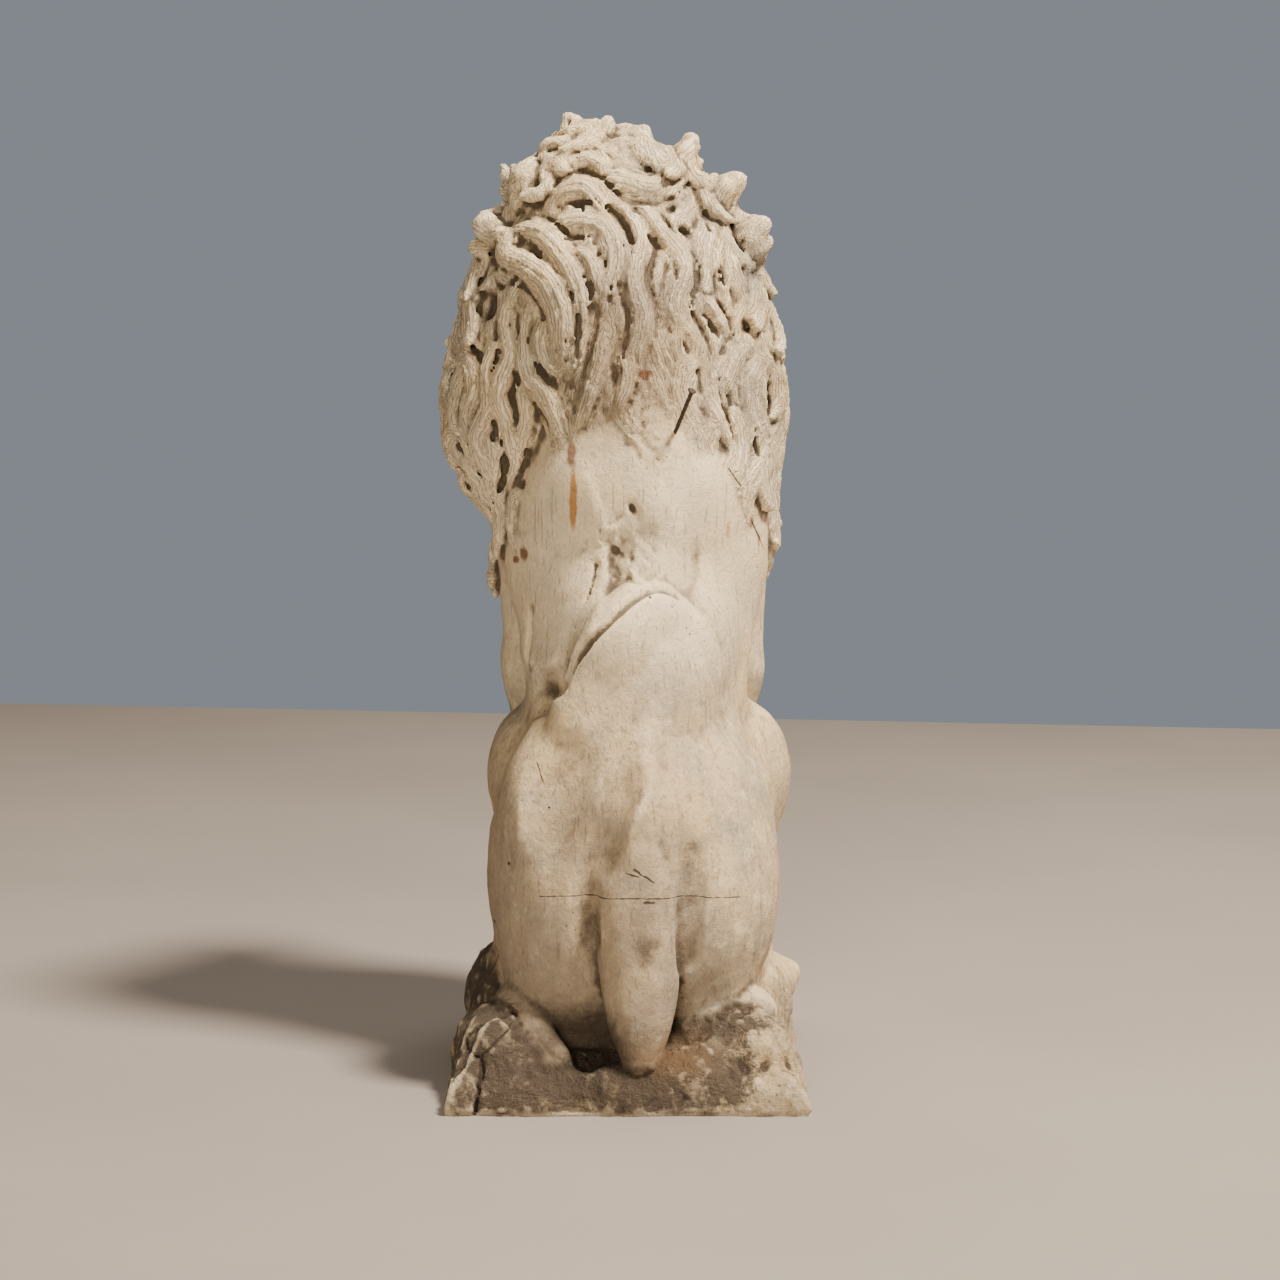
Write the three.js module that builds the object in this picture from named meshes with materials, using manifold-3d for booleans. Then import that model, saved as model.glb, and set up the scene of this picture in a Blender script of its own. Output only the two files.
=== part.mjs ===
// A plaster lion sitting on a low rocky base, cast in one, with an iron nail in its nape.
// Millimetres, +Z up. The lion looks along -Y and its left side is +X. The origin is on the
// floor, under the middle of the base. The figure is modelled as clay is: rounded masses are
// added to one another, folds are carved in, locks of mane are laid on, and the skin of the
// result is then drawn as triangles and thinned.
import * as THREE from "three";
import { mergeVertices } from "three/addons/utils/BufferGeometryUtils.js";
import Module from "manifold-3d";

// Driving sizes
const FIGURE_HEIGHT = 960; // from the rim of the base to the top of the crown
const BASE_WIDTH = 360;
const BASE_LENGTH = 580;
const BASE_HEIGHT = 40; // of the rim
const NAIL_LENGTH = 84;
const NAIL_STANDS_OUT = 48;
const NAIL_DIAMETER = 3.8;
const NAIL_HEAD_DIAMETER = 8.6;
const NAIL_HEAD_THICKNESS = 1.8;
const NAIL_CLEARANCE = 0.3; // all round the nail in its hole

// How finely the skin is drawn
const GRID_STEP = 8; // between the points where the clay is measured
const SKIN_TRIANGLES = 9400;

// The figure's pose, proportions and carving are in parts of its own height, 960 in all.
const UNIT = FIGURE_HEIGHT / 960;
// A place in the figure; heights count from 40 at the rim of the base.
const at = (x, y, z) => new THREE.Vector3(x * UNIT, y * UNIT, BASE_HEIGHT + (z - 40) * UNIT);
const both = [1, -1]; // its left side and its right side
const MIDLINE = -8; // the trunk sits a little to the right of the base's middle

const clamp = THREE.MathUtils.clamp;
const smoothstep = THREE.MathUtils.smoothstep;
const degrees = THREE.MathUtils.degToRad;
const DOWN = new THREE.Vector3(0, 0, -1);
const BACK = new THREE.Vector3(0, 1, 0);

// Shapes: each has a box that it fits in, and says how far a point is from its surface,
// counted as negative inside.

// An egg with three half lengths, turned about x, y and z by degrees
function egg(centre, halves, turn = [0, 0, 0]) {
  const middle = at(...centre);
  const [a, b, c] = halves.map((half) => half * UNIT);
  const euler = new THREE.Euler(...turn.map(degrees));
  const inverse = new THREE.Matrix4().makeRotationFromEuler(euler).invert();
  const e = inverse.elements;
  const reach = Math.max(a, b, c);
  return {
    box: new THREE.Box3(middle.clone().subScalar(reach), middle.clone().addScalar(reach)),
    distance(x, y, z) {
      const dx = x - middle.x;
      const dy = y - middle.y;
      const dz = z - middle.z;
      const u = (e[0] * dx + e[4] * dy + e[8] * dz) / a;
      const v = (e[1] * dx + e[5] * dy + e[9] * dz) / b;
      const w = (e[2] * dx + e[6] * dy + e[10] * dz) / c;
      const near = Math.hypot(u, v, w);
      return (near * (near - 1)) / (Math.hypot(u / a, v / b, w / c) + 1e-9);
    },
  };
}

// A round limb from one place to another, with a radius at each end
function limb(from, to, fromRadius, toRadius = fromRadius) {
  const start = at(...from);
  const along = at(...to).sub(start);
  const length2 = along.lengthSq();
  const r0 = fromRadius * UNIT;
  const r1 = toRadius * UNIT;
  const box = new THREE.Box3().setFromPoints([start, start.clone().add(along)]);
  return {
    box: box.expandByScalar(Math.max(r0, r1)),
    distance(x, y, z) {
      const dx = x - start.x;
      const dy = y - start.y;
      const dz = z - start.z;
      const t = clamp((dx * along.x + dy * along.y + dz * along.z) / length2, 0, 1);
      return Math.hypot(dx - t * along.x, dy - t * along.y, dz - t * along.z) - r0 - (r1 - r0) * t;
    },
  };
}

// One stretch of a lock: a flat oval section carried from one knot to the next
function stretch(a, b) {
  const along = b.point.clone().sub(a.point);
  const length2 = along.lengthSq();
  const normal = a.normal.clone().add(b.normal).normalize();
  const side = along.clone().cross(normal).normalize();
  const out = side.clone().cross(along).normalize();
  const box = new THREE.Box3().setFromPoints([a.point, b.point]);
  return {
    box: box.expandByScalar(Math.max(a.wide, b.wide)),
    distance(x, y, z) {
      const dx = x - a.point.x;
      const dy = y - a.point.y;
      const dz = z - a.point.z;
      const t = clamp((dx * along.x + dy * along.y + dz * along.z) / length2, 0, 1);
      const qx = dx - t * along.x;
      const qy = dy - t * along.y;
      const qz = dz - t * along.z;
      const wide = a.wide + (b.wide - a.wide) * t;
      const thick = a.thick + (b.thick - a.thick) * t;
      const across = qx * out.x + qy * out.y + qz * out.z;
      const sideways2 = Math.max(qx * qx + qy * qy + qz * qz - across * across, 0);
      return (Math.hypot(across / thick, Math.sqrt(sideways2) / wide) - 1) * thick;
    },
  };
}

// Clay: how far each point of a grid is from the surface of all that was modelled so far
class Clay {
  constructor(box, step) {
    this.box = box;
    this.low = box.min.clone();
    this.step = step;
    this.count = box.getSize(new THREE.Vector3()).divideScalar(step).ceil().addScalar(1);
    this.far = 20 * step;
    this.field = new Float32Array(this.count.x * this.count.y * this.count.z).fill(this.far);
  }

  copy() {
    const twin = new Clay(this.box, this.step);
    twin.field.set(this.field);
    return twin;
  }

  index(i, j, k) {
    return i + this.count.x * (j + this.count.y * k);
  }

  // Works a shape into the grid points near it with a rule for the new distance there.
  work(shape, margin, rule) {
    const { low, step, count, field } = this;
    const room = margin + 3 * step;
    const first = shape.box.min.clone().subScalar(room).sub(low).divideScalar(step).floor();
    const last = shape.box.max.clone().addScalar(room).sub(low).divideScalar(step).ceil();
    first.clampScalar(0, Infinity);
    last.min(count.clone().subScalar(1));
    for (let k = first.z; k <= last.z; k += 1) {
      for (let j = first.y; j <= last.y; j += 1) {
        for (let i = first.x; i <= last.x; i += 1) {
          const n = this.index(i, j, k);
          const distance = shape.distance(low.x + i * step, low.y + j * step, low.z + k * step);
          field[n] = rule(field[n], distance);
        }
      }
    }
  }

  // Adds a mass, with the angle between old and new filled over a width.
  add(shape, blend) {
    this.work(shape, blend, (old, added) => softMin(old, added, blend));
  }

  // Takes a shape away, with the edge rounded over a width.
  carve(shape, blend) {
    this.work(shape, blend, (old, taken) => -softMin(-old, taken, blend));
  }

  // The distance at a place between the grid points
  sample(p) {
    const u = (p.x - this.low.x) / this.step;
    const v = (p.y - this.low.y) / this.step;
    const w = (p.z - this.low.z) / this.step;
    const i = clamp(Math.floor(u), 0, this.count.x - 2);
    const j = clamp(Math.floor(v), 0, this.count.y - 2);
    const k = clamp(Math.floor(w), 0, this.count.z - 2);
    let sum = 0;
    for (let corner = 0; corner < 8; corner += 1) {
      const di = corner & 1;
      const dj = (corner >> 1) & 1;
      const dk = corner >> 2;
      const share = Math.abs(1 - di - u + i) * Math.abs(1 - dj - v + j) * Math.abs(1 - dk - w + k);
      sum += share * this.field[this.index(i + di, j + dj, k + dk)];
    }
    return sum;
  }

  // The direction straight out of the clay
  normal(p) {
    const h = this.step;
    const slope = (x, y, z) =>
      this.sample(new THREE.Vector3(p.x + x, p.y + y, p.z + z)) -
      this.sample(new THREE.Vector3(p.x - x, p.y - y, p.z - z));
    return new THREE.Vector3(slope(h, 0, 0), slope(0, h, 0), slope(0, 0, h)).normalize();
  }

  // The nearest place on the surface, found in a few steps along the normal
  settle(p) {
    const place = p.clone();
    for (let pass = 0; pass < 4; pass += 1) {
      place.addScaledVector(this.normal(place), -this.sample(place));
    }
    return place;
  }

  // Where a straight line towards a target first meets the surface
  meet(from, target) {
    const step = target.clone().sub(from).normalize().multiplyScalar(this.step / 2);
    const place = from.clone();
    const steps = Math.floor(from.distanceTo(target) / step.length());
    for (let n = 0; n < steps && this.sample(place) > 0; n += 1) {
      place.add(step);
    }
    return this.settle(place);
  }

  // Sets every point of one sign that can't be reached from a corner of the grid, or from
  // a place in the solid, to the other sign, so that no bubble and no crumb is left.
  keepReached(start, sign) {
    const { count, field } = this;
    const reached = new Uint8Array(field.length);
    const queue = [start];
    reached[start] = 1;
    const strides = [1, -1, count.x, -count.x, count.x * count.y, -count.x * count.y];
    while (queue.length > 0) {
      const n = queue.pop();
      for (const stride of strides) {
        const next = n + stride;
        if (next >= 0 && next < field.length && !reached[next] && field[next] * sign > 0) {
          reached[next] = 1;
          queue.push(next);
        }
      }
    }
    for (let n = 0; n < field.length; n += 1) {
      if (field[n] * sign > 0 && !reached[n]) {
        field[n] = -sign * this.step * 0.3;
      }
    }
  }
}

// The smaller of two distances, with the corner between them filled over a width
function softMin(a, b, width) {
  const overlap = Math.max(width - Math.abs(a - b), 0) / width;
  return Math.min(a, b) - (overlap * overlap * width) / 4;
}

// An even scatter between 0 and 1, the same each time
function scatter(n) {
  const value = Math.sin(n * 12.9898) * 43758.5453;
  return value - Math.floor(value);
}

const BELOW = 1.5 * GRID_STEP; // how far the clay runs on under the floor before it is cut flat

// The base: a block with a hewn top and sides, and rocks on it
function addBase(clay) {
  const halfWidth = BASE_WIDTH / 2;
  const halfLength = BASE_LENGTH / 2;
  const block = {
    box: new THREE.Box3(
      new THREE.Vector3(-halfWidth, -halfLength, -BELOW),
      new THREE.Vector3(halfWidth, halfLength, BASE_HEIGHT + 30),
    ),
    distance(x, y, z) {
      const hewn = 6 * Math.sin(x / 23 + 2 * Math.sin(y / 41)) * Math.sin(y / 29 - x / 57);
      const lean = Math.max(z, 0) * (x < 0 ? 0.34 : 0.16);
      const top = (z - BASE_HEIGHT - hewn) * 0.95;
      const sides = Math.abs(x) - halfWidth + lean + 0.3 * hewn;
      const ends = Math.abs(y) - halfLength + 0.12 * Math.max(z, 0) + 0.3 * hewn;
      return Math.max(-softMin(-top, -Math.max(sides, ends), 26), -z - BELOW);
    },
  };
  clay.add(block, 4);
  const edge = halfWidth / UNIT;
  const end = halfLength / UNIT;
  const rocks = [
    // place, half lengths, turn
    [[-edge + 62, end - 92, 44], [44, 62, 44], [6, 20, 22]],
    [[-edge + 96, end - 120, 46], [60, 60, 40], [0, 0, 10]],
    [[-edge + 44, 60, 56], [34, 78, 44], [0, 8, -8]],
    [[-edge + 48, -90, 48], [38, 84, 42], [0, 8, 6]],
    [[edge - 44, 10, 62], [36, 96, 52], [0, -8, 5]],
    [[edge - 40, end - 108, 44], [34, 84, 44], [8, -12, 6]],
    [[edge - 62, end - 62, 30], [44, 40, 34], [10, -14, 20]],
    [[edge - 44, -120, 42], [38, 88, 40], [0, -6, -8]],
    [[0, -end + 66, 36], [118, 52, 28], [4, 0, 0]],
    [[30, 40, 40], [110, 130, 36], [0, 0, 0]],
    [[-62, end - 50, 24], [60, 40, 34], [16, 8, 8]],
    [[-10, end - 30, 14], [80, 22, 28], [10, 0, 0]],
  ];
  for (const [place, halves, turn] of rocks) {
    clay.add(egg(place, halves, turn), 14);
  }
  // the hollow left of the tail's end
  clay.carve(egg([42, end - 32, 62], [24, 44, 26], [16, 0, 0]), 10);
}

// Pelvis, thighs folded under, and the long hind feet
function addHaunches(clay) {
  clay.add(egg([MIDLINE, 112, 228], [124, 128, 158], [-14, 0, 0]), 10);
  for (const side of both) {
    const x = (n) => MIDLINE + 1 + n * side;
    const out = side < 0 ? 8 : 0; // the right knee stands out further
    const [low, full] = side < 0 ? [6, 0] : [34, 6]; // the left buttock is fuller and hangs lower
    clay.add(egg([x(75), 84, 208], [73 + full, 128, 142], [-24, 0, 0]), 40);
    clay.add(egg([x(100 + out), -6, 294], [58, 74, 84], [-20, 0, 6 * side]), 28);
    clay.add(egg([x(52), 150, 178 - low], [78, 84, 104]), 40);
    clay.add(limb([x(76), 246, 50], [x(120), 180, 80], 12, 22), 8);
    clay.add(limb([x(120), 180, 80], [x(104), 110, 64], 22, 28), 10);
    clay.add(limb([x(104), 120, 62], [x(130), -20, 64], 28, 32), 16);
    clay.add(limb([x(102), -10, 210], [x(107), 40, 90], 45, 35), 26);
    addToes(clay, [x(132), -62, 62], side);
  }
}

// A paw: a pad with four toes, each with a round knuckle
function addToes(clay, place, side) {
  const [x, y, z] = place;
  clay.add(egg([x, y + 8, z], [44, 50, 32]), 16);
  for (let toe = 0; toe < 4; toe += 1) {
    const spread = toe - 1.5;
    const reach = 34 - 5 * spread * spread;
    const across = x + spread * 21 + side * 2;
    clay.add(limb([across, y - reach + 22, z + 6], [across, y - reach - 6, z - 8], 15, 13), 5);
  }
}

// Loin, chest and back, with the ridge of the spine
function addTrunk(clay) {
  clay.add(limb([MIDLINE, 108, 280], [MIDLINE - 2, 10, 480], 104, 104), 40);
  clay.add(egg([MIDLINE - 2, -46, 585], [122, 118, 130], [20, 0, 0]), 40);
  clay.add(egg([0, -116, 520], [104, 84, 140]), 30);
  const ridge = [
    [MIDLINE, 214, 290],
    [MIDLINE - 5, 134, 450],
    [MIDLINE - 10, 78, 590],
    [MIDLINE - 12, 58, 690],
  ];
  for (let n = 1; n < ridge.length; n += 1) {
    clay.add(limb(ridge[n - 1], ridge[n], 14), 44);
  }
  for (const side of both) {
    // shoulder blade, then the flesh behind the arm
    clay.add(egg([MIDLINE + 94 * side, -24, 552], [48, 80, 118], [12, 0, 8 * side]), 24);
    clay.add(egg([MIDLINE + 78 * side, 14, 440], [40, 54, 96], [18, 0, 0]), 24);
  }
}

// Straight forelegs with wrist and paw
function addForelegs(clay) {
  for (const side of both) {
    const x = (n) => MIDLINE + 4 + n * side;
    clay.add(limb([x(95), -112, 530], [x(94), -84, 402], 54, 45), 26);
    clay.add(limb([x(94), -84, 402], [x(88), -118, 280], 44, 40), 22);
    clay.add(limb([x(88), -118, 280], [x(86), -148, 140], 40, 37), 14);
    clay.add(egg([x(86), -154, 150], [40, 38, 36]), 14);
    clay.add(limb([x(86), -148, 140], [x(88), -176, 78], 37, 36), 14);
    addToes(clay, [x(90), -198, 76], side);
  }
}

// The tail hangs from the rump as a broad wedge and ends in a blunt tip on the rock.
function addTail(clay) {
  clay.add(egg([MIDLINE - 2, 182, 224], [50, 56, 116], [-8, 0, 0]), 30);
  const x = MIDLINE - 4;
  const runs = [
    // place, radius
    [[x + 2, 202, 300], 34],
    [[x + 2, 225, 200], 43],
    [[x, 242, 128], 39],
    [[x, 255, 84], 31],
    [[x, 266, 58], 20],
    [[x, 274, 44], 9],
  ];
  for (let n = 1; n < runs.length; n += 1) {
    clay.add(limb(runs[n - 1][0], runs[n][0], runs[n - 1][1], runs[n][1]), 7);
  }
}

// Neck and head. The head looks a little to its left.
const HEAD = [16, -112, 838];
const HEAD_TURN = 12;
const FACE_WIDE = 50; // degrees to each side of the face that the mane leaves bare
const FACE_TALL = 84; // and above and below its middle
function headPlace(x, y, z) {
  const turn = degrees(HEAD_TURN);
  return [
    HEAD[0] + x * Math.cos(turn) - y * Math.sin(turn),
    HEAD[1] + x * Math.sin(turn) + y * Math.cos(turn),
    HEAD[2] + z,
  ];
}

function addNeck(clay) {
  clay.add(limb([-14, 0, 610], [6, -48, 760], 112, 122), 30);
  clay.add(egg([14, -52, 772], [150, 118, 160]), 30);
  clay.add(egg([16, -62, 884], [100, 88, 84]), 30);
  for (const side of both) {
    clay.add(egg([14 + 92 * side, -62, 700], [80, 94, 130], [0, -8 * side, 0]), 26);
  }
  clay.add(egg([4, -146, 590], [104, 70, 160]), 30);
}

function addFace(clay) {
  const turn = [0, 0, HEAD_TURN];
  clay.add(egg(headPlace(0, 0, 4), [78, 92, 84], turn), 18);
  // bridge of the nose, muzzle, lower jaw and chin
  clay.add(limb(headPlace(0, -50, 32), headPlace(0, -136, 4), 30, 21), 18);
  clay.add(egg(headPlace(0, -104, -18), [42, 56, 34], turn), 16);
  clay.add(egg(headPlace(0, -70, -54), [46, 60, 28], turn), 14);
  clay.add(egg(headPlace(0, -124, -62), [25, 24, 18], turn), 8);
  clay.carve(egg(headPlace(0, -142, -44), [44, 40, 4], turn), 4);
  clay.add(egg(headPlace(0, -158, 4), [23, 12, 14], turn), 6);
  for (const side of both) {
    clay.add(egg(headPlace(34 * side, -76, 34), [32, 22, 14], [0, -16 * side, HEAD_TURN]), 10);
    clay.add(egg(headPlace(54 * side, -40, -18), [34, 46, 42], turn), 16);
    clay.add(egg(headPlace(20 * side, -136, -20), [25, 28, 21], turn), 6);
    clay.carve(egg(headPlace(35 * side, -100, 13), [20, 14, 11], turn), 7);
    clay.add(egg(headPlace(34 * side, -86, 12), [13, 12, 11], turn), 3);
    clay.add(egg(headPlace(80 * side, -2, 70), [24, 15, 30], [0, 24 * side, HEAD_TURN]), 8);
    clay.carve(egg(headPlace(82 * side, -18, 72), [13, 12, 19], [0, 24 * side, HEAD_TURN]), 5);
  }
}

// Where the mane ends, by degrees round from the back: high on the spine, low on the chest
function maneEdge(round) {
  const r = Math.abs(round);
  const back = 672 - 105 * smoothstep(r, 8, 62);
  return back - 120 * smoothstep(r, 80, 170) - (round > 0 ? 18 : 0) * smoothstep(r, 20, 60);
}

const MANE_AXIS = [14, -58];
const MANE_ROWS = 7;
const LOCK_LENGTH = 128;
const LOCK_WIDE = 21; // half width
const LOCK_THICK = 15; // half thickness
const KNOT_STEP = 11; // along a lock

// A knot of a lock that lies at a place on the clay
function knotAt(clay, place, wide, thick, lift) {
  const normal = clay.normal(place);
  return {
    point: place.clone().addScaledVector(normal, lift * UNIT),
    normal,
    wide: wide * UNIT,
    thick: thick * UNIT,
  };
}

// A lock of hair: knots on a walk over the clay, which sways and ends in a curl
function walkLock(clay, root, lock) {
  const crown = at(HEAD[0], HEAD[1] + 12, 960);
  const knots = [];
  const place = clay.settle(root);
  for (let s = 0; s <= lock.length * UNIT; s += KNOT_STEP * UNIT) {
    const t = s / (lock.length * UNIT);
    const swell = Math.pow(Math.sin(Math.PI * (0.16 + 0.8 * t)), 0.75);
    const knot = knotAt(clay, place, lock.wide * swell, lock.thick * swell, lock.lift * (0.2 + t * t));
    const normal = knot.normal;
    knots.push(knot);
    const away = place.clone().sub(crown).normalize();
    const heading = away.multiplyScalar(0.55).addScaledVector(DOWN, 0.8);
    heading.addScaledVector(BACK, lock.sweep).projectOnPlane(normal).normalize();
    const sway = lock.sway * Math.sin(lock.phase + 5 * t) + lock.curl * t * t * t;
    heading.applyAxisAngle(normal, sway);
    place.copy(clay.settle(place.addScaledVector(heading, KNOT_STEP * UNIT)));
  }
  return knots;
}

function layLock(clay, knots) {
  for (let n = 1; n < knots.length; n += 1) {
    clay.add(stretch(knots[n - 1], knots[n]), 3 * UNIT);
  }
}

// Rows of locks from the mane's edge up to the crown, each row over the one below it
function addMane(clay) {
  const core = clay.copy();
  let number = 0;
  for (let row = 0; row < MANE_ROWS; row += 1) {
    const up = row / (MANE_ROWS - 1);
    const elevation = degrees(72 * smoothstep(up, 0.62, 1.05));
    const around = Math.round(26 * Math.cos(elevation)) + 2;
    for (let n = 0; n < around; n += 1) {
      number += 1;
      const round = -180 + (360 * (n + 0.5 * (row % 2) + 0.3 * scatter(number))) / around;
      const ray = degrees(round);
      const low = maneEdge(round) + LOCK_LENGTH * 0.8;
      const level = Math.min(1, (up + 0.05 * scatter(number + 0.35)) / 0.8);
      const height = low + (885 - low) * level;
      const fromFace = Math.abs(Math.abs(round - HEAD_TURN) - 180);
      const rise = HEAD[2] + 10 - height - 60 * Math.sin(elevation);
      if (Math.hypot(fromFace / FACE_WIDE, rise / FACE_TALL) < 1 && elevation < degrees(50)) {
        continue;
      }
      const centre = at(...MANE_AXIS, height);
      const outward = new THREE.Vector3(
        Math.sin(ray) * Math.cos(elevation),
        Math.cos(ray) * Math.cos(elevation),
        Math.sin(elevation),
      );
      const root = core.meet(centre.clone().addScaledVector(outward, 330 * UNIT), centre);
      const turnTo = scatter(number + 0.5) < 0.5 ? -1 : 1;
      const onBack = 1 - smoothstep(Math.abs(round), 20, 75);
      layLock(clay, walkLock(core, root, {
        length: LOCK_LENGTH * (0.75 + 0.5 * scatter(number + 0.25)) * (1 - 0.4 * up),
        wide: LOCK_WIDE * (0.8 + 0.35 * scatter(number + 0.75)),
        thick: LOCK_THICK * (1 - 0.35 * onBack),
        lift: (9 + 12 * up * scatter(number + 0.15)) * (1 - 0.6 * onBack),
        sweep: fromFace < 110 ? 0.5 : 0,
        sway: 0.5 * turnTo,
        phase: 1.5 * scatter(number + 0.6),
        curl: 1.7 * turnTo,
      }));
    }
  }
}

// The big locks at the back of the mane: half a width, then places across and up
const BACK_LOCKS = [
  [14, [126, 866], [121, 842], [100, 829], [78, 808], [66, 776], [66, 745], [60, 715]],
  [12, [112, 872], [84, 862], [62, 838], [50, 810], [46, 778], [52, 735]],
  [13, [82, 864], [55, 878], [26, 872], [13, 845], [20, 805], [28, 762]],
  [10, [134, 868], [156, 852], [163, 830], [157, 802]],
  [19, [118, 802], [133, 770], [140, 730], [143, 690], [146, 650], [150, 610], [144, 572]],
  [11, [102, 780], [103, 746], [97, 720], [80, 700], [68, 670], [62, 646]],
  [13, [165, 800], [179, 758], [170, 716], [164, 672], [156, 630]],
  [10, [4, 888], [-10, 858], [-3, 818], [-14, 776], [-6, 735], [-18, 695]],
  [11, [-34, 862], [-54, 830], [-44, 790], [-64, 756], [-76, 720], [-92, 676]],
  [13, [-96, 895], [-96, 858], [-102, 826], [-114, 796], [-110, 764]],
  [13, [-116, 884], [-134, 856], [-147, 832], [-150, 805], [-142, 778]],
  [12, [-96, 712], [-108, 740], [-128, 750], [-146, 726]],
  [15, [-148, 726], [-160, 695], [-164, 662], [-154, 630]],
  [14, [16, 880], [42, 908], [68, 904], [86, 880]],
  [13, [10, 918], [-22, 912], [-46, 928], [-60, 952]],
  [12, [84, 916], [66, 944], [40, 950], [14, 938]],
  [15, [185, 815], [194, 770], [188, 720], [178, 688]],
  [15, [180, 680], [184, 645], [172, 605]],
  [13, [152, 884], [132, 902], [102, 906]],
  [13, [112, 900], [108, 930], [90, 944]],
];

function addBackLocks(clay) {
  const core = clay.copy();
  for (const [wide, ...places] of BACK_LOCKS) {
    const onCore = places.map(([x, z]) => core.meet(at(x, 260, z), at(x, -80, z)));
    const line = new THREE.CatmullRomCurve3(onCore);
    const last = Math.round(line.getLength() / (KNOT_STEP * UNIT));
    const knots = line.getSpacedPoints(last).map((place, n) => {
      const swell = Math.pow(Math.sin(Math.PI * (0.14 + (0.78 * n) / last)), 0.6);
      return knotAt(core, place, wide * swell, 12 * swell, 5);
    });
    layLock(clay, knots);
  }
}

// Tufts that stand up from the crown and beside it: foot, then tip
const TUFTS = [
  [[52, -44, 930], [56, -52, 986]],
  [[28, -52, 940], [24, -60, 982]],
  [[4, -56, 940], [4, -62, 978]],
  [[-16, -50, 936], [-20, -54, 966]],
  [[-42, -40, 912], [-62, -36, 958]],
  [[-80, -36, 880], [-112, -28, 924]],
  [[-104, -34, 850], [-140, -24, 878]],
  [[72, -34, 900], [74, -30, 944]],
  [[92, -30, 890], [112, -24, 932]],
  [[116, -20, 850], [150, -12, 880]],
  [[20, -120, 920], [30, -140, 958]],
];

function addTufts(clay) {
  for (const [foot, tip] of TUFTS) {
    clay.add(limb(foot, tip, 22, 9), 10);
  }
}

// Carved folds of skin on the back
function carveFolds(clay) {
  const fold = [
    [-52, 499],
    [-27, 506],
    [-6, 499],
    [23, 471],
    [46, 446],
    [68, 406],
    [86, 388],
  ];
  const core = clay.copy();
  const onBack = fold.map(([x, z]) => core.meet(at(x, 260, z), at(x, -80, z)));
  const lip = onBack.map((place) => place.clone().addScaledVector(DOWN, 13 * UNIT));
  for (let n = 1; n < fold.length; n += 1) {
    clay.add(stretch(...[lip[n - 1], lip[n]].map((point) => knotAt(core, point, 15, 9, -3))), 12);
  }
  for (let n = 1; n < fold.length; n += 1) {
    clay.carve(stretch(...[onBack[n - 1], onBack[n]].map((point) => knotAt(core, point, 6, 7, 3))), 5);
  }
}

// The skin of the clay, drawn through the six slanting blocks that each cell of the grid
// splits into, so that it is closed whatever the shape
const TETRAHEDRA = [
  [0, 1, 3, 7],
  [0, 3, 2, 7],
  [0, 2, 6, 7],
  [0, 6, 4, 7],
  [0, 4, 5, 7],
  [0, 5, 1, 7],
];
const LONE = [[0, 1, 2, 3], [1, 0, 3, 2], [2, 3, 0, 1], [3, 2, 1, 0]];
const PAIRS = {
  3: [0, 1, 2, 3],
  5: [0, 2, 3, 1],
  9: [0, 3, 1, 2],
  6: [1, 2, 0, 3],
  10: [1, 3, 2, 0],
  12: [2, 3, 0, 1],
};

function drawSkin(clay) {
  const { field, count, low, step } = clay;
  const points = [];
  const faces = [];
  const known = new Map();
  const offset = (corner) => clay.index(corner & 1, (corner >> 1) & 1, corner >> 2);
  const offsets = [0, 1, 2, 3, 4, 5, 6, 7].map(offset);
  // The point where the surface crosses the edge between two corners of a cell
  const crossing = (cell, i, j, k, cornerA, cornerB) => {
    const [a, b] = cornerA < cornerB ? [cornerA, cornerB] : [cornerB, cornerA];
    const key = (cell + offsets[a]) * 8 + (b - a);
    let n = known.get(key);
    if (n === undefined) {
      const fa = field[cell + offsets[a]];
      const fb = field[cell + offsets[b]];
      const t = clamp(fa / (fa - fb), 0.02, 0.98);
      const mix = (bit) => ((a >> bit) & 1) + t * (((b >> bit) & 1) - ((a >> bit) & 1));
      points.push(low.x + (i + mix(0)) * step, low.y + (j + mix(1)) * step, low.z + (k + mix(2)) * step);
      n = points.length / 3 - 1;
      known.set(key, n);
    }
    return n;
  };
  for (let k = 0; k < count.z - 1; k += 1) {
    for (let j = 0; j < count.y - 1; j += 1) {
      for (let i = 0; i < count.x - 1; i += 1) {
        const cell = clay.index(i, j, k);
        let inside = 0;
        for (const o of offsets) {
          inside += field[cell + o] < 0 ? 1 : 0;
        }
        if (inside === 0 || inside === 8) {
          continue;
        }
        for (const corners of TETRAHEDRA) {
          let mask = 0;
          corners.forEach((corner, n) => {
            mask |= field[cell + offsets[corner]] < 0 ? 1 << n : 0;
          });
          if (mask === 0 || mask === 15) {
            continue;
          }
          const cut = (a, b) => crossing(cell, i, j, k, corners[a], corners[b]);
          const pair = PAIRS[mask];
          if (pair) {
            const [a, b, c, d] = pair;
            const quad = [cut(a, c), cut(a, d), cut(b, d), cut(b, c)];
            faces.push(quad[0], quad[1], quad[2], quad[0], quad[2], quad[3]);
          } else {
            const alone = [1, 2, 4, 8].indexOf(mask);
            const missing = [14, 13, 11, 7].indexOf(mask);
            const [a, b, c, d] = LONE[Math.max(alone, missing)];
            const fan = [cut(a, b), cut(a, c), cut(a, d)];
            faces.push(...(alone >= 0 ? fan : fan.reverse()));
          }
        }
      }
    }
  }
  return { points, faces };
}

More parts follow.
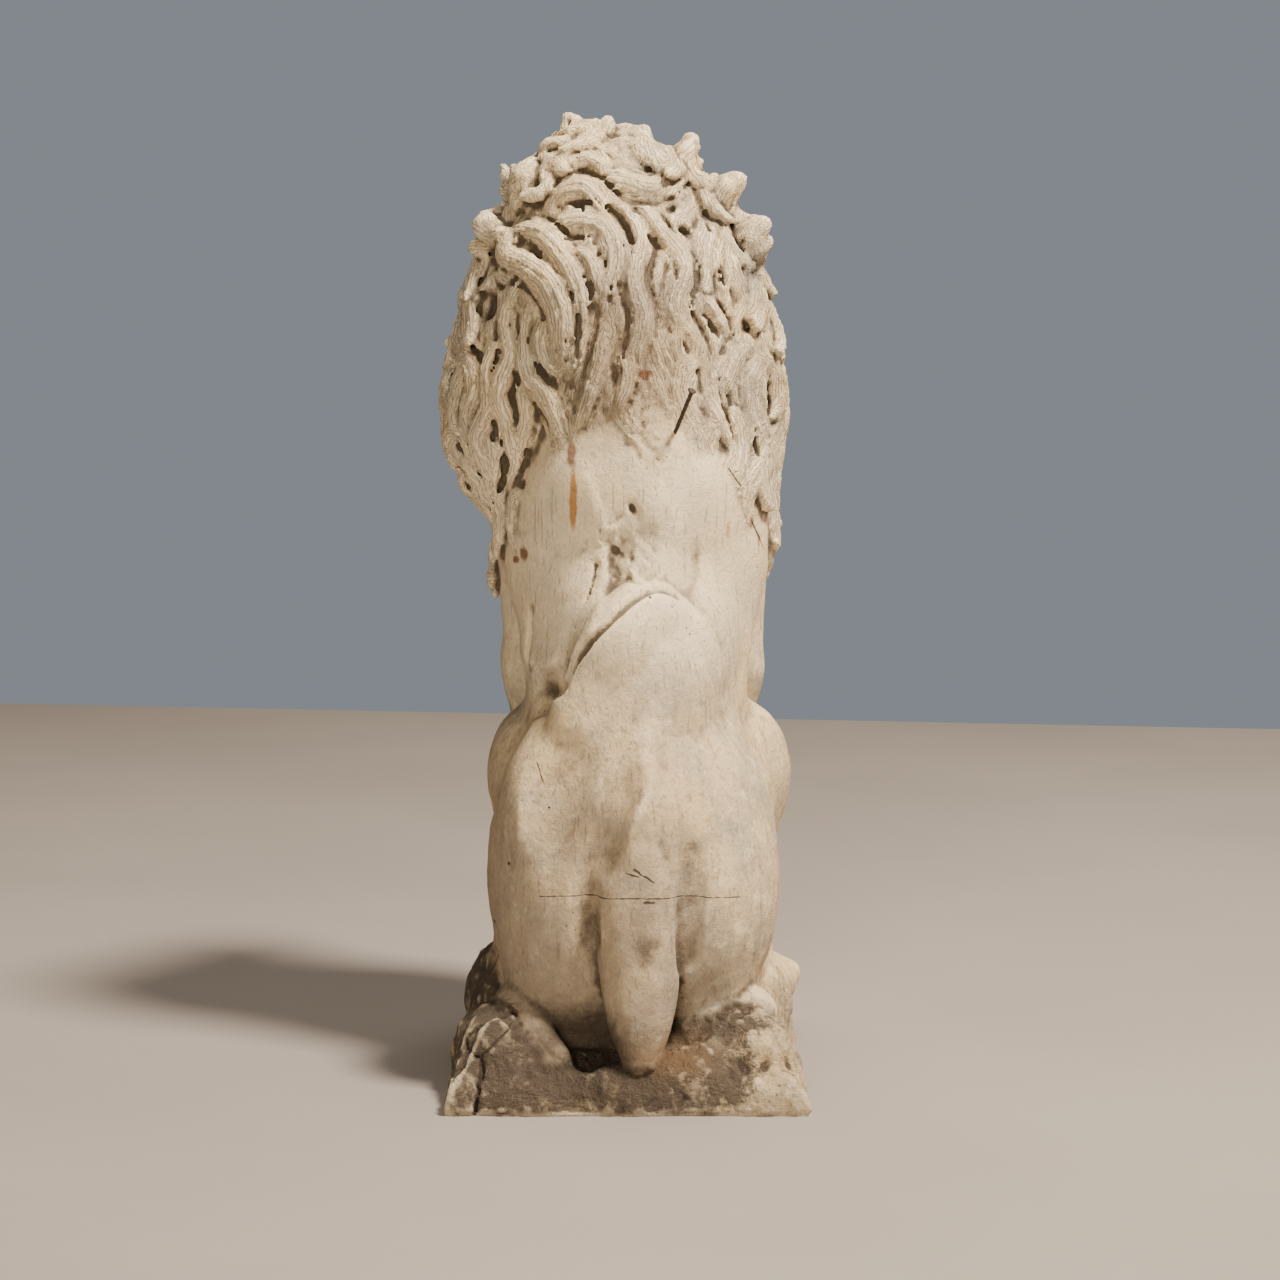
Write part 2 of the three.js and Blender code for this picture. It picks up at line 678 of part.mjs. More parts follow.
// Evens out the points of a skin: each moves to the middle of its neighbours, and then back
// onto the surface.
function relaxSkin(clay, { points, faces }) {
  const place = new THREE.Vector3();
  for (let pass = 0; pass < 2; pass += 1) {
    const sums = new Float64Array(points.length);
    const shares = new Uint16Array(points.length / 3);
    for (let n = 0; n < faces.length; n += 1) {
      const a = faces[n];
      const b = faces[n % 3 === 2 ? n - 2 : n + 1];
      shares[a] += 1;
      for (let m = 0; m < 3; m += 1) {
        sums[3 * a + m] += points[3 * b + m];
      }
    }
    for (let n = 0; n < shares.length; n += 1) {
      place.fromArray(sums, 3 * n).divideScalar(shares[n]);
      place.addScaledVector(clay.normal(place), -clay.sample(place));
      place.toArray(points, 3 * n);
    }
  }
  return { points, faces };
}

// A heap that gives back its cheapest entry first
class Heap {
  entries = [];

  push(entry) {
    const { entries } = this;
    let n = entries.push(entry) - 1;
    while (n > 0) {
      const parent = (n - 1) >> 1;
      if (entries[parent].cost <= entry.cost) {
        break;
      }
      entries[n] = entries[parent];
      n = parent;
    }
    entries[n] = entry;
  }

  pop() {
    const { entries } = this;
    const top = entries[0];
    const last = entries.pop();
    const length = entries.length;
    if (length > 0) {
      let n = 0;
      for (let child = 1; child < length; child = 2 * n + 1) {
        if (child + 1 < length && entries[child + 1].cost < entries[child].cost) {
          child += 1;
        }
        if (entries[child].cost >= last.cost) {
          break;
        }
        entries[n] = entries[child];
        n = child;
      }
      entries[n] = last;
    }
    return top;
  }
}

// Thins a closed skin. Drawing the two ends of an edge together costs what the squared
// distances to the planes round them come to, and the cheapest edge goes first.
function thinSkin({ points, faces }, target) {
  const total = points.length / 3;
  const corners = faces.slice();
  const alive = new Uint8Array(faces.length / 3).fill(1);
  const around = Array.from({ length: total }, () => []);
  const stamp = new Uint32Array(total);
  const quadric = new Float64Array(total * 10);
  const point = (n) => [points[3 * n], points[3 * n + 1], points[3 * n + 2]];
  const cross = (a, b, c) => {
    const u = [b[0] - a[0], b[1] - a[1], b[2] - a[2]];
    const v = [c[0] - a[0], c[1] - a[1], c[2] - a[2]];
    return [u[1] * v[2] - u[2] * v[1], u[2] * v[0] - u[0] * v[2], u[0] * v[1] - u[1] * v[0]];
  };
  for (let f = 0; f < alive.length; f += 1) {
    const ends = [corners[3 * f], corners[3 * f + 1], corners[3 * f + 2]];
    const [a, b, c] = ends.map(point);
    const n = cross(a, b, c);
    const area = Math.hypot(...n) + 1e-12;
    const [x, y, z] = n.map((value) => value / area);
    const w = -(x * a[0] + y * a[1] + z * a[2]);
    const q = [x * x, x * y, x * z, x * w, y * y, y * z, y * w, z * z, z * w, w * w];
    for (const end of ends) {
      around[end].push(f);
      q.forEach((value, m) => {
        quadric[10 * end + m] += value * area;
      });
    }
  }
  const heap = new Heap();
  const neighbours = (n) => {
    const found = new Set();
    for (const f of around[n]) {
      for (let m = 0; m < 3; m += 1) {
        found.add(corners[3 * f + m]);
      }
    }
    found.delete(n);
    return found;
  };
  const offer = (a, b) => {
    const q = new Float64Array(10);
    for (let m = 0; m < 10; m += 1) {
      q[m] = quadric[10 * a + m] + quadric[10 * b + m];
    }
    const pa = point(a);
    const pb = point(b);
    const middle = pa.map((value, m) => (value + pb[m]) / 2);
    // The best place for the joined point; a light pull to the middle of the edge keeps it
    // from sliding away where the surface is flat.
    const pull = 1e-3 * (q[0] + q[4] + q[7]) + 1e-9;
    const [xx, xy, xz, yy, yz, zz] = [q[0] + pull, q[1], q[2], q[4] + pull, q[5], q[7] + pull];
    const right = [
      pull * middle[0] - q[3],
      pull * middle[1] - q[6],
      pull * middle[2] - q[8],
    ];
    const c0 = yy * zz - yz * yz;
    const c1 = xz * yz - xy * zz;
    const c2 = xy * yz - xz * yy;
    const det = xx * c0 + xy * c1 + xz * c2;
    const best = [
      (c0 * right[0] + c1 * right[1] + c2 * right[2]) / det,
      (c1 * right[0] + (xx * zz - xz * xz) * right[1] + (xy * xz - xx * yz) * right[2]) / det,
      (c2 * right[0] + (xy * xz - xx * yz) * right[1] + (xx * yy - xy * xy) * right[2]) / det,
    ];
    const [x, y, z] = best;
    const cost =
      q[0] * x * x + 2 * q[1] * x * y + 2 * q[2] * x * z + 2 * q[3] * x +
      q[4] * y * y + 2 * q[5] * y * z + 2 * q[6] * y +
      q[7] * z * z + 2 * q[8] * z + q[9];
    const length2 = (pa[0] - pb[0]) ** 2 + (pa[1] - pb[1]) ** 2 + (pa[2] - pb[2]) ** 2;
    heap.push({ cost: Math.max(cost, 0) + 1e-3 * length2, a, b, best, age: stamp[a] + stamp[b] });
  };
  for (let n = 0; n < total; n += 1) {
    for (const other of neighbours(n)) {
      if (other > n) {
        offer(n, other);
      }
    }
  }
  const shape = (normal, ends) => {
    const longest = Math.max(
      ...ends.map((p, n) => {
        const q = ends[(n + 1) % 3];
        return (p[0] - q[0]) ** 2 + (p[1] - q[1]) ** 2 + (p[2] - q[2]) ** 2;
      }),
    );
    return Math.hypot(...normal) / longest;
  };
  // Whether every face that stays keeps its side and doesn't become a worse sliver
  const holds = (end, gone, best) => {
    for (const f of around[end]) {
      const ends = [corners[3 * f], corners[3 * f + 1], corners[3 * f + 2]];
      if (ends.includes(gone)) {
        continue;
      }
      const old = ends.map(point);
      const moved = ends.map((n) => (n === end ? best : point(n)));
      const before = cross(...old);
      const after = cross(...moved);
      const dot = before[0] * after[0] + before[1] * after[1] + before[2] * after[2];
      const fair = shape(before, old);
      if (fair > 0.05 && dot < 0.3 * Math.hypot(...before) * Math.hypot(...after)) {
        return false;
      }
      if (shape(after, moved) < Math.min(0.15, 0.9 * fair)) {
        return false;
      }
    }
    return true;
  };
  let left = alive.length;
  while (left > target && heap.entries.length > 0) {
    const { a, b, best, age } = heap.pop();
    if (age !== stamp[a] + stamp[b] || around[a].length === 0 || around[b].length === 0) {
      continue;
    }
    const nearA = neighbours(a);
    const nearB = neighbours(b);
    const shared = [...nearA].filter((n) => nearB.has(n));
    if (!nearA.has(b) || shared.length !== 2) {
      continue;
    }
    const choices = [best, point(a), point(b)];
    const chosen = choices.find((spot) => holds(a, b, spot) && holds(b, a, spot));
    if (!chosen) {
      continue;
    }
    chosen.forEach((value, m) => {
      points[3 * a + m] = value;
    });
    for (let m = 0; m < 10; m += 1) {
      quadric[10 * a + m] += quadric[10 * b + m];
    }
    for (const f of around[b]) {
      const slot = [0, 1, 2].find((m) => corners[3 * f + m] === b);
      if ([0, 1, 2].some((m) => corners[3 * f + m] === a)) {
        alive[f] = 0;
        left -= 1;
        for (let m = 0; m < 3; m += 1) {
          const end = corners[3 * f + m];
          if (end !== b) {
            around[end] = around[end].filter((other) => other !== f);
          }
        }
      } else {
        corners[3 * f + slot] = a;
        around[a].push(f);
      }
    }
    around[b] = [];
    stamp[a] += 1;
    for (const other of neighbours(a)) {
      offer(a, other);
    }
  }
  return { points, faces: corners.filter((_, n) => alive[Math.floor(n / 3)]) };
}

const wasm = await Module();
wasm.setup();

function solidOf(geometry) {
  const bare = geometry.clone();
  bare.deleteAttribute("normal");
  bare.deleteAttribute("uv");
  const merged = mergeVertices(bare, 1e-4);
  return new wasm.Manifold(
    new wasm.Mesh({
      numProp: 3,
      vertProperties: new Float32Array(merged.attributes.position.array),
      triVerts: new Uint32Array(merged.index.array),
    }),
  );
}

function geometryOf(solid) {
  const mesh = solid.getMesh();
  const geometry = new THREE.BufferGeometry();
  geometry.setAttribute("position", new THREE.BufferAttribute(mesh.vertProperties, 3));
  geometry.setIndex(new THREE.BufferAttribute(mesh.triVerts, 1));
  geometry.computeVertexNormals();
  return geometry;
}

function skinGeometry({ points, faces }) {
  const geometry = new THREE.BufferGeometry();
  geometry.setAttribute("position", new THREE.Float32BufferAttribute(points, 3));
  geometry.setIndex(faces);
  return geometry;
}

// The nail and its hole share one profile, turned about the nail's own axis from its point.
function nailShape(clearance, headed) {
  const radius = NAIL_DIAMETER / 2 + clearance;
  const head = NAIL_HEAD_DIAMETER / 2;
  const profile = [
    new THREE.Vector2(0, -clearance),
    new THREE.Vector2(radius, 2 * NAIL_DIAMETER),
  ];
  if (headed) {
    profile.push(new THREE.Vector2(radius, NAIL_LENGTH - NAIL_HEAD_THICKNESS));
    profile.push(new THREE.Vector2(head, NAIL_LENGTH - NAIL_HEAD_THICKNESS));
  }
  const width = headed ? head : radius;
  profile.push(new THREE.Vector2(width, NAIL_LENGTH), new THREE.Vector2(0, NAIL_LENGTH));
  return new THREE.LatheGeometry(profile, 12);
}

// Room for the base and for the figure, whichever reaches further
const reachX = Math.max(BASE_WIDTH / 2, 210 * UNIT) + 3 * GRID_STEP;
const reachY = Math.max(BASE_LENGTH / 2, 300 * UNIT) + 3 * GRID_STEP;
const clay = new Clay(
  new THREE.Box3(
    new THREE.Vector3(-reachX, -reachY, -3 * GRID_STEP),
    new THREE.Vector3(reachX, reachY, at(0, 0, 1010).z + 3 * GRID_STEP),
  ),
  GRID_STEP,
);
addBase(clay);
addHaunches(clay);
addTrunk(clay);
addForelegs(clay);
addTail(clay);
addNeck(clay);
addTufts(clay);
addMane(clay);
addBackLocks(clay);
addFace(clay);
carveFolds(clay);
clay.keepReached(0, 1);
clay.keepReached(
  clay.index(
    ...at(MIDLINE, 0, 500).sub(clay.low).divideScalar(clay.step).round().toArray(),
  ),
  -1,
);
const skin = thinSkin(relaxSkin(clay, drawSkin(clay)), SKIN_TRIANGLES);

// The nail slants up and back out of the nape, on the right of the spine.
const nailAxis = new THREE.Vector3(-0.304, 0.558, 0.771).normalize();
const nailMouth = clay.meet(at(-51, 290, 668), at(-51, -80, 668));
const nailPlace = new THREE.Object3D();
nailPlace.position.copy(nailMouth).addScaledVector(nailAxis, NAIL_STANDS_OUT - NAIL_LENGTH);
nailPlace.quaternion.setFromUnitVectors(BACK, nailAxis);
nailPlace.updateMatrix();

const above = new THREE.BoxGeometry(2 * BASE_WIDTH, 2 * BASE_LENGTH, 2 * FIGURE_HEIGHT);
above.translate(0, 0, FIGURE_HEIGHT);
const hole = nailShape(NAIL_CLEARANCE, false).applyMatrix4(nailPlace.matrix);
const plaster = solidOf(skinGeometry(skin)).intersect(solidOf(above)).subtract(solidOf(hole));

const lion = new THREE.Mesh(
  geometryOf(plaster),
  new THREE.MeshStandardMaterial({ color: 0xcfc3a8, roughness: 0.92, metalness: 0 }),
);
lion.name = "lion";

const nail = new THREE.Mesh(
  geometryOf(solidOf(nailShape(0, true))),
  new THREE.MeshStandardMaterial({ color: 0x3a2e27, roughness: 0.75, metalness: 0.6 }),
);
nail.name = "nape_nail";
nail.position.copy(nailPlace.position);
nail.quaternion.copy(nailPlace.quaternion);

const part = new THREE.Group();
part.add(lion, nail);
export default part;
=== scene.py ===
"""A plaster lion on a low rocky base, finished as an old cast, with a rusty nail in its nape.

The lion is modelled as clay is, on a grid of distances: rounded masses are added, folds and
hollows are carved, locks of mane are laid on strand by strand, and the skin of the result
becomes one mesh that stands for the cast in the frame. The clay is worked in millimetres and
the mesh is in metres. The lion looks along -Y and its left side is +X.
"""

import math

import bmesh
import bpy
import numpy as np
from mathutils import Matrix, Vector


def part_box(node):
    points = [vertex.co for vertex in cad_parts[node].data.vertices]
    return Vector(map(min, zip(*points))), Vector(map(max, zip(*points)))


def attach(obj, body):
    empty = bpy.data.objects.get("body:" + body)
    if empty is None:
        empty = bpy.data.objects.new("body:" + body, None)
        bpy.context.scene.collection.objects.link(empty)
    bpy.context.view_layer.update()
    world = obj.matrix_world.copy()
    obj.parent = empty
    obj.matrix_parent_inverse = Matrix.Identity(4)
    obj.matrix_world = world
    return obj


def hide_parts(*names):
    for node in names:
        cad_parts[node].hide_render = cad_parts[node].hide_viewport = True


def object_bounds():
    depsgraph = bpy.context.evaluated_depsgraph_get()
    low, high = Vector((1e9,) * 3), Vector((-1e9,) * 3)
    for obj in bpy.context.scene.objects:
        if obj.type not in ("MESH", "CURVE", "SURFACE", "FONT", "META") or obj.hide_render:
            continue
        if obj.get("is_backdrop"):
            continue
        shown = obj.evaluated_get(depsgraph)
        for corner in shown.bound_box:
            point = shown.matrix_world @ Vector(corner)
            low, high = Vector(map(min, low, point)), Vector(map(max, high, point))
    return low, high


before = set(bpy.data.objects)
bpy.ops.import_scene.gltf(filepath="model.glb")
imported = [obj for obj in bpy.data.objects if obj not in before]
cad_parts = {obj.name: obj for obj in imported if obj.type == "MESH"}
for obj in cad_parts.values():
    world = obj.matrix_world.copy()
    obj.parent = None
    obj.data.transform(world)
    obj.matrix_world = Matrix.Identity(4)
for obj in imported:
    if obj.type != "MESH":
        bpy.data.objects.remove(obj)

bl_info = {
    "name": "Plaster Lion",
    "version": (1, 0, 0),
    "blender": (4, 5, 0),
    "location": "View3D > Sidebar > Plaster Lion",
    "description": "Models and finishes an old plaster lion on a rocky base",
    "category": "Add Mesh",
}

CAD_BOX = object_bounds()
MM = 0.001

# The figure's proportions count in 960 parts from the base's rim, at 40, to its crown.
FIGURE_PARTS = 960
RIM_PARTS = 40
BOTH = (1, -1)  # its left side and its right side
MIDLINE = -8  # parts across, where the body's middle is
FAR = 200.0  # millimetres, what the empty grid says


# Distances


def soft_min(a, b, width):
    """The smaller of two distances, with the corner between them filled over a width."""
    overlap = np.maximum(width - np.abs(a - b), 0) / width
    return np.minimum(a, b) - overlap * overlap * (width / 4)


def smoothstep(x, low, high):
    """A soft rise from 0 to 1 between two limits: three times t squared less twice t cubed."""
    t = np.clip((x - low) / (high - low), 0, 1)
    return t * t * (3 - 2 * t)


def scatter(n):
    """An even scatter between 0 and 1, the same each time: the fraction of a steep sine."""
    value = np.sin(np.asarray(n) * 12.9898) * 43758.5453
    return value - np.floor(value)


def turned(degrees_xyz):
    """The matrix that turns about z, then y, then x."""
    a, b, c = (math.radians(d) for d in degrees_xyz)
    x = np.array([[1, 0, 0], [0, math.cos(a), -math.sin(a)], [0, math.sin(a), math.cos(a)]])
    y = np.array([[math.cos(b), 0, math.sin(b)], [0, 1, 0], [-math.sin(b), 0, math.cos(b)]])
    z = np.array([[math.cos(c), -math.sin(c), 0], [math.sin(c), math.cos(c), 0], [0, 0, 1]])
    return x @ y @ z


def waves(x, y, z, scale, seed):
    """Soft unevenness between about -1 and 1: five plane waves in scattered directions."""
    total = 0.0
    for n in range(5):
        k = (scatter(seed + 7 * n + np.arange(3)) - 0.5) * (4.0 + 3.0 * n) / scale
        warp = 1.3 * np.sin((k[1] * x - k[0] * z) * 0.7 + n)
        phase = warp + 5 * scatter(seed + n)
        total = total + np.sin(k[0] * x + k[1] * y + k[2] * z + phase) / (1 + 0.4 * n)
    return total * 0.35


def tube(a, b, start_radius, end_radius=None):
    """A round limb: the distance to a line, less a radius that changes along it, all in
    millimetres. Like every shape here it comes as the two corners of its box and a function."""
    end_radius = start_radius if end_radius is None else end_radius
    along = b - a
    ends = np.array([a, b])
    reach = max(start_radius, end_radius)

    def distance(x, y, z):
        dx, dy, dz = x - a[0], y - a[1], z - a[2]
        t = np.clip((dx * along[0] + dy * along[1] + dz * along[2]) / (along @ along), 0, 1)
        gap = (dx - t * along[0]) ** 2 + (dy - t * along[1]) ** 2 + (dz - t * along[2]) ** 2
        return np.sqrt(gap) - start_radius - (end_radius - start_radius) * t

    return ends.min(axis=0) - reach, ends.max(axis=0) + reach, distance


class Clay:
    """Distances to the surface of all that was modelled so far, on a grid of points."""

    def __init__(self, low, step, field):
        self.low, self.step, self.field = low, step, field

    @classmethod
    def empty(cls, low, high, step):
        low = np.array(low, float)
        count = np.ceil((np.array(high) - low) / step).astype(int) + 1
        return cls(low, float(step), np.full(count, FAR, np.float32))

    def near(self, low, high, room):
        """The part of the grid round a box, and the coordinates of its points."""
        count = np.array(self.field.shape)
        first = np.maximum(np.floor((low - room - self.low) / self.step).astype(int), 0)
        last = np.minimum(np.ceil((high + room - self.low) / self.step).astype(int) + 1, count)
        window = tuple(slice(a, b) for a, b in zip(first, last))
        axes = [
            (self.low[m] + self.step * np.arange(first[m], last[m])).astype(np.float32) for m in range(3)
        ]
        return window, np.meshgrid(*axes, indexing="ij", sparse=True)

    def add(self, shape, blend):
        """Adds a mass, with the angle between old and new filled over a width."""
        low, high, distance = shape
        window, places = self.near(low, high, blend + 3 * self.step)
        self.field[window] = soft_min(self.field[window], distance(*places), blend)

    def carve(self, shape, blend):
        """Takes a shape away, with the edge rounded over a width."""
        low, high, distance = shape
        window, places = self.near(low, high, blend + 3 * self.step)
        self.field[window] = -soft_min(-self.field[window], distance(*places), blend)

    def copy(self):
        return Clay(self.low, self.step, self.field.copy())

    def refined(self):
        """The same clay on a grid of half the step: each new point is the middle of two."""
        field = self.field
        for axis in range(3):
            count = list(field.shape)
            count[axis] = 2 * count[axis] - 1
            finer = np.empty(count, np.float32)
            even = [slice(None)] * 3
            odd = [slice(None)] * 3
            even[axis] = slice(0, None, 2)
            odd[axis] = slice(1, None, 2)
            finer[tuple(even)] = field
            before = np.take(field, range(field.shape[axis] - 1), axis)
            after = np.take(field, range(1, field.shape[axis]), axis)
            finer[tuple(odd)] = (before + after) / 2
            field = finer
        return Clay(self.low, self.step / 2, field)

    def sample(self, points, field=None):
        """Values between the grid points, mixed from the eight round each place."""
        field = self.field if field is None else field
        place = (points - self.low) / self.step
        cell = np.clip(np.floor(place).astype(int), 0, np.array(field.shape) - 2)
        t = np.clip(place - cell, 0, 1)
        total = 0.0
        for corner in range(8):
            d = np.array([corner & 1, corner >> 1 & 1, corner >> 2])
            share = np.prod(np.where(d, t, 1 - t), axis=-1)
            index = cell + d
            total = total + share * field[index[..., 0], index[..., 1], index[..., 2]]
        return total

    def normal(self, points):
        """Straight out of the clay: the slope of the distances."""
        slope = np.empty(points.shape)
        for m in range(3):
            shift = np.zeros(3)
            shift[m] = self.step
            slope[..., m] = self.sample(points + shift) - self.sample(points - shift)
        return slope / (np.linalg.norm(slope, axis=-1, keepdims=True) + 1e-9)

    def settle(self, points):
        """The nearest places on the surface, found in a few steps along the normals."""
        for _ in range(4):
            points = points - self.normal(points) * self.sample(points)[..., None]
        return points

    def meet(self, start, target):
        """Where straight lines first meet the surface."""
        along = target - start
        length = np.linalg.norm(along, axis=-1, keepdims=True)
        step = along / length * (self.step / 2)
        place = start.copy()
        for _ in range(int(length.max() / (self.step / 2))):
            outside = (self.sample(place) > 0)[..., None]
            if not outside.any():
                break
            place = place + step * outside
        return self.settle(place)


class Figure:
    """The lion's clay, with its own measure: places and sizes are in parts of its height."""

    def __init__(self, sizes, step):
        self.base_width = sizes.base_width / MM
        self.base_length = sizes.base_length / MM
        self.base_height = sizes.base_height / MM
        self.unit = sizes.figure_height / MM / FIGURE_PARTS
        self.strand_depth = sizes.strand_depth / MM

        # the grid leaves room round the base for what stands out over it
        low = (-self.base_width / 2 - 36, -self.base_length / 2 - 24, -3 * step)
        high = (
            self.base_width / 2 + 50,
            self.base_length / 2 + 24,
            self.base_height + (FIGURE_PARTS + 22) * self.unit,
        )
        self.clay = Clay.empty(low, high, step)
        self.core = None  # the masses alone, which locks and folds follow
        self.rock = None  # the base alone
        self.claws = []  # the ends of the toes

    def at(self, x, y, z):
        """A place in millimetres: parts of the height, counted up from the base's rim."""
        unit = self.unit
        return np.array([x * unit, y * unit, self.base_height + (z - RIM_PARTS) * unit])

    def egg(self, centre, halves, turn=(0, 0, 0)):
        """An egg: the length of the place over its half lengths, put into millimetres."""
        middle = self.at(*centre)
        a, b, c = (half * self.unit for half in halves)
        m = turned(turn).T
        reach = np.abs(turned(turn)) @ np.array([a, b, c])

        def distance(x, y, z):
            dx, dy, dz = x - middle[0], y - middle[1], z - middle[2]
            u = (m[0, 0] * dx + m[0, 1] * dy + m[0, 2] * dz) / a
            v = (m[1, 0] * dx + m[1, 1] * dy + m[1, 2] * dz) / b
            w = (m[2, 0] * dx + m[2, 1] * dy + m[2, 2] * dz) / c
            near = np.sqrt(u * u + v * v + w * w)
            return near * (near - 1) / (np.sqrt((u / a) ** 2 + (v / b) ** 2 + (w / c) ** 2) + 1e-9)

        return middle - reach, middle + reach, distance

    def limb(self, start, end, start_radius, end_radius=None):
        end_radius = start_radius if end_radius is None else end_radius
        return tube(self.at(*start), self.at(*end), start_radius * self.unit, end_radius * self.unit)

    def add(self, shape, blend):
        self.clay.add(shape, blend * self.unit)

    def carve(self, shape, blend):
        self.clay.carve(shape, blend * self.unit)


# The masses of the figure


def add_base(figure):
    """A block with a hewn top and leaning sides, and rocks on it as rough eggs."""
    half_width, half_length = figure.base_width / 2, figure.base_length / 2
    height = figure.base_height
    below = 2 * figure.clay.step

    def block(x, y, z):
        hewn = 6 * np.sin(x / 23 + 2 * np.sin(y / 41)) * np.sin(y / 29 - x / 57)
        lean = np.maximum(z, 0) * np.where(x < 0, 0.34, 0.16)
        top = (z - height - hewn) * 0.95
        sides = np.abs(x) - half_width + lean + 0.3 * hewn
        ends = np.abs(y) - half_length + 0.12 * np.maximum(z, 0) + 0.3 * hewn
        return np.maximum(-soft_min(-top, -np.maximum(sides, ends), 26), -z - below)

    low = np.array([-half_width, -half_length, -below])
    figure.clay.add((low, np.array([half_width, half_length, height + 30]), block), 4)
    edge, end = half_width / figure.unit, half_length / figure.unit
    rocks = (
        ((-edge + 62, end - 92, 44), (44, 62, 44), (6, 20, 22)),
        ((-edge + 96, end - 120, 46), (60, 60, 40), (0, 0, 10)),
        ((-edge + 44, 60, 56), (34, 78, 44), (0, 8, -8)),
        ((-edge + 48, -90, 48), (38, 84, 42), (0, 8, 6)),
        ((edge - 44, 10, 62), (36, 96, 52), (0, -8, 5)),
        ((edge - 40, end - 108, 44), (34, 84, 44), (8, -12, 6)),
        ((edge - 62, end - 62, 30), (44, 40, 34), (10, -14, 20)),
        ((edge - 44, -120, 42), (38, 88, 40), (0, -6, -8)),
        ((0, -end + 66, 36), (118, 52, 28), (4, 0, 0)),
        ((30, 40, 40), (110, 130, 36), (0, 0, 0)),
        ((-62, end - 50, 24), (60, 40, 34), (16, 8, 8)),
        ((-10, end - 30, 14), (80, 22, 28), (10, 0, 0)),
    )
    for place, halves, turn in rocks:
        figure.add(figure.egg(place, halves, turn), 14)
    figure.carve(figure.egg((42, end - 32, 62), (24, 44, 26), (16, 0, 0)), 10)


def add_toes(figure, place, side):
    """A paw: a pad with four toes, each with a round knuckle."""
    x, y, z = place
    figure.add(figure.egg((x, y + 8, z), (44, 50, 32)), 16)
    for toe in range(4):
        spread = toe - 1.5
        reach = 34 - 5 * spread * spread
        across = x + spread * 21 + side * 2
        figure.add(figure.limb((across, y - reach + 22, z + 6), (across, y - reach - 6, z - 8), 15, 13), 5)
        figure.claws.append((across, y - reach - 6, z - 8))


def add_haunches(figure):
    """Pelvis, thighs folded under, and the long hind feet."""
    figure.add(figure.egg((MIDLINE, 112, 228), (124, 128, 158), (-14, 0, 0)), 10)
    for side in BOTH:
        m = MIDLINE + 1
        out = 8 if side < 0 else 0  # the right knee stands out further
        low, full = (6, 0) if side < 0 else (34, 6)  # the left buttock is fuller and hangs lower
        egg, limb = figure.egg, figure.limb
        figure.add(egg((m + 75 * side, 84, 208), (73 + full, 128, 142), (-24, 0, 0)), 40)
        figure.add(egg((m + (100 + out) * side, -6, 294), (58, 74, 84), (-20, 0, 6 * side)), 28)
        figure.add(egg((m + 52 * side, 150, 178 - low), (78, 84, 104)), 40)
        figure.add(limb((m + 76 * side, 246, 50), (m + 120 * side, 180, 80), 12, 22), 8)
        figure.add(limb((m + 120 * side, 180, 80), (m + 104 * side, 110, 64), 22, 28), 10)
        figure.add(limb((m + 104 * side, 120, 62), (m + 130 * side, -20, 64), 28, 32), 16)
        figure.add(limb((m + 102 * side, -10, 210), (m + 107 * side, 40, 90), 45, 35), 26)
        add_toes(figure, (m + 132 * side, -62, 62), side)


def add_trunk(figure):
    """Loin, chest and back, with the ridge of the spine and the shoulder blades."""
    egg, limb = figure.egg, figure.limb
    figure.add(limb((MIDLINE, 108, 280), (MIDLINE - 2, 10, 480), 104), 40)
    figure.add(egg((MIDLINE - 2, -46, 585), (122, 118, 130), (20, 0, 0)), 40)
    figure.add(egg((0, -116, 520), (104, 84, 140)), 30)
    ridge = ((0, 214, 290), (-5, 134, 450), (-10, 78, 590), (-12, 58, 690))
    for a, b in zip(ridge, ridge[1:]):
        figure.add(limb((MIDLINE + a[0], a[1], a[2]), (MIDLINE + b[0], b[1], b[2]), 14), 44)
    for side in BOTH:
        figure.add(egg((MIDLINE + 94 * side, -24, 552), (48, 80, 118), (12, 0, 8 * side)), 24)
        figure.add(egg((MIDLINE + 78 * side, 14, 440), (40, 54, 96), (18, 0, 0)), 24)


def add_forelegs(figure):
    """Straight forelegs with wrist and paw."""
    egg, limb = figure.egg, figure.limb
    for side in BOTH:
        m = MIDLINE + 4
        figure.add(limb((m + 95 * side, -112, 530), (m + 94 * side, -84, 402), 54, 45), 26)
        figure.add(limb((m + 94 * side, -84, 402), (m + 88 * side, -118, 280), 44, 40), 22)
        figure.add(limb((m + 88 * side, -118, 280), (m + 86 * side, -148, 140), 40, 37), 14)
        figure.add(egg((m + 86 * side, -154, 150), (40, 38, 36)), 14)
        figure.add(limb((m + 86 * side, -148, 140), (m + 88 * side, -176, 78), 37, 36), 14)
        add_toes(figure, (m + 90 * side, -198, 76), side)


def add_tail(figure):
    """The tail hangs from the rump as a broad wedge and ends in a blunt tip on the rock."""
    limb, m = figure.limb, MIDLINE
    figure.add(figure.egg((m - 2, 182, 224), (50, 56, 116), (-8, 0, 0)), 30)
    runs = (
        ((m - 2, 202, 300), 34), ((m - 2, 225, 200), 43), ((m - 4, 242, 128), 39),
        ((m - 4, 255, 84), 31), ((m - 4, 266, 58), 20), ((m - 3, 274, 44), 9),
    )
    path = smooth_path(np.array([(*place, radius) for place, radius in runs]), 22)
    for a, b in zip(path, path[1:]):
        figure.add(limb(a[:3], b[:3], a[3], b[3]), 2.5)


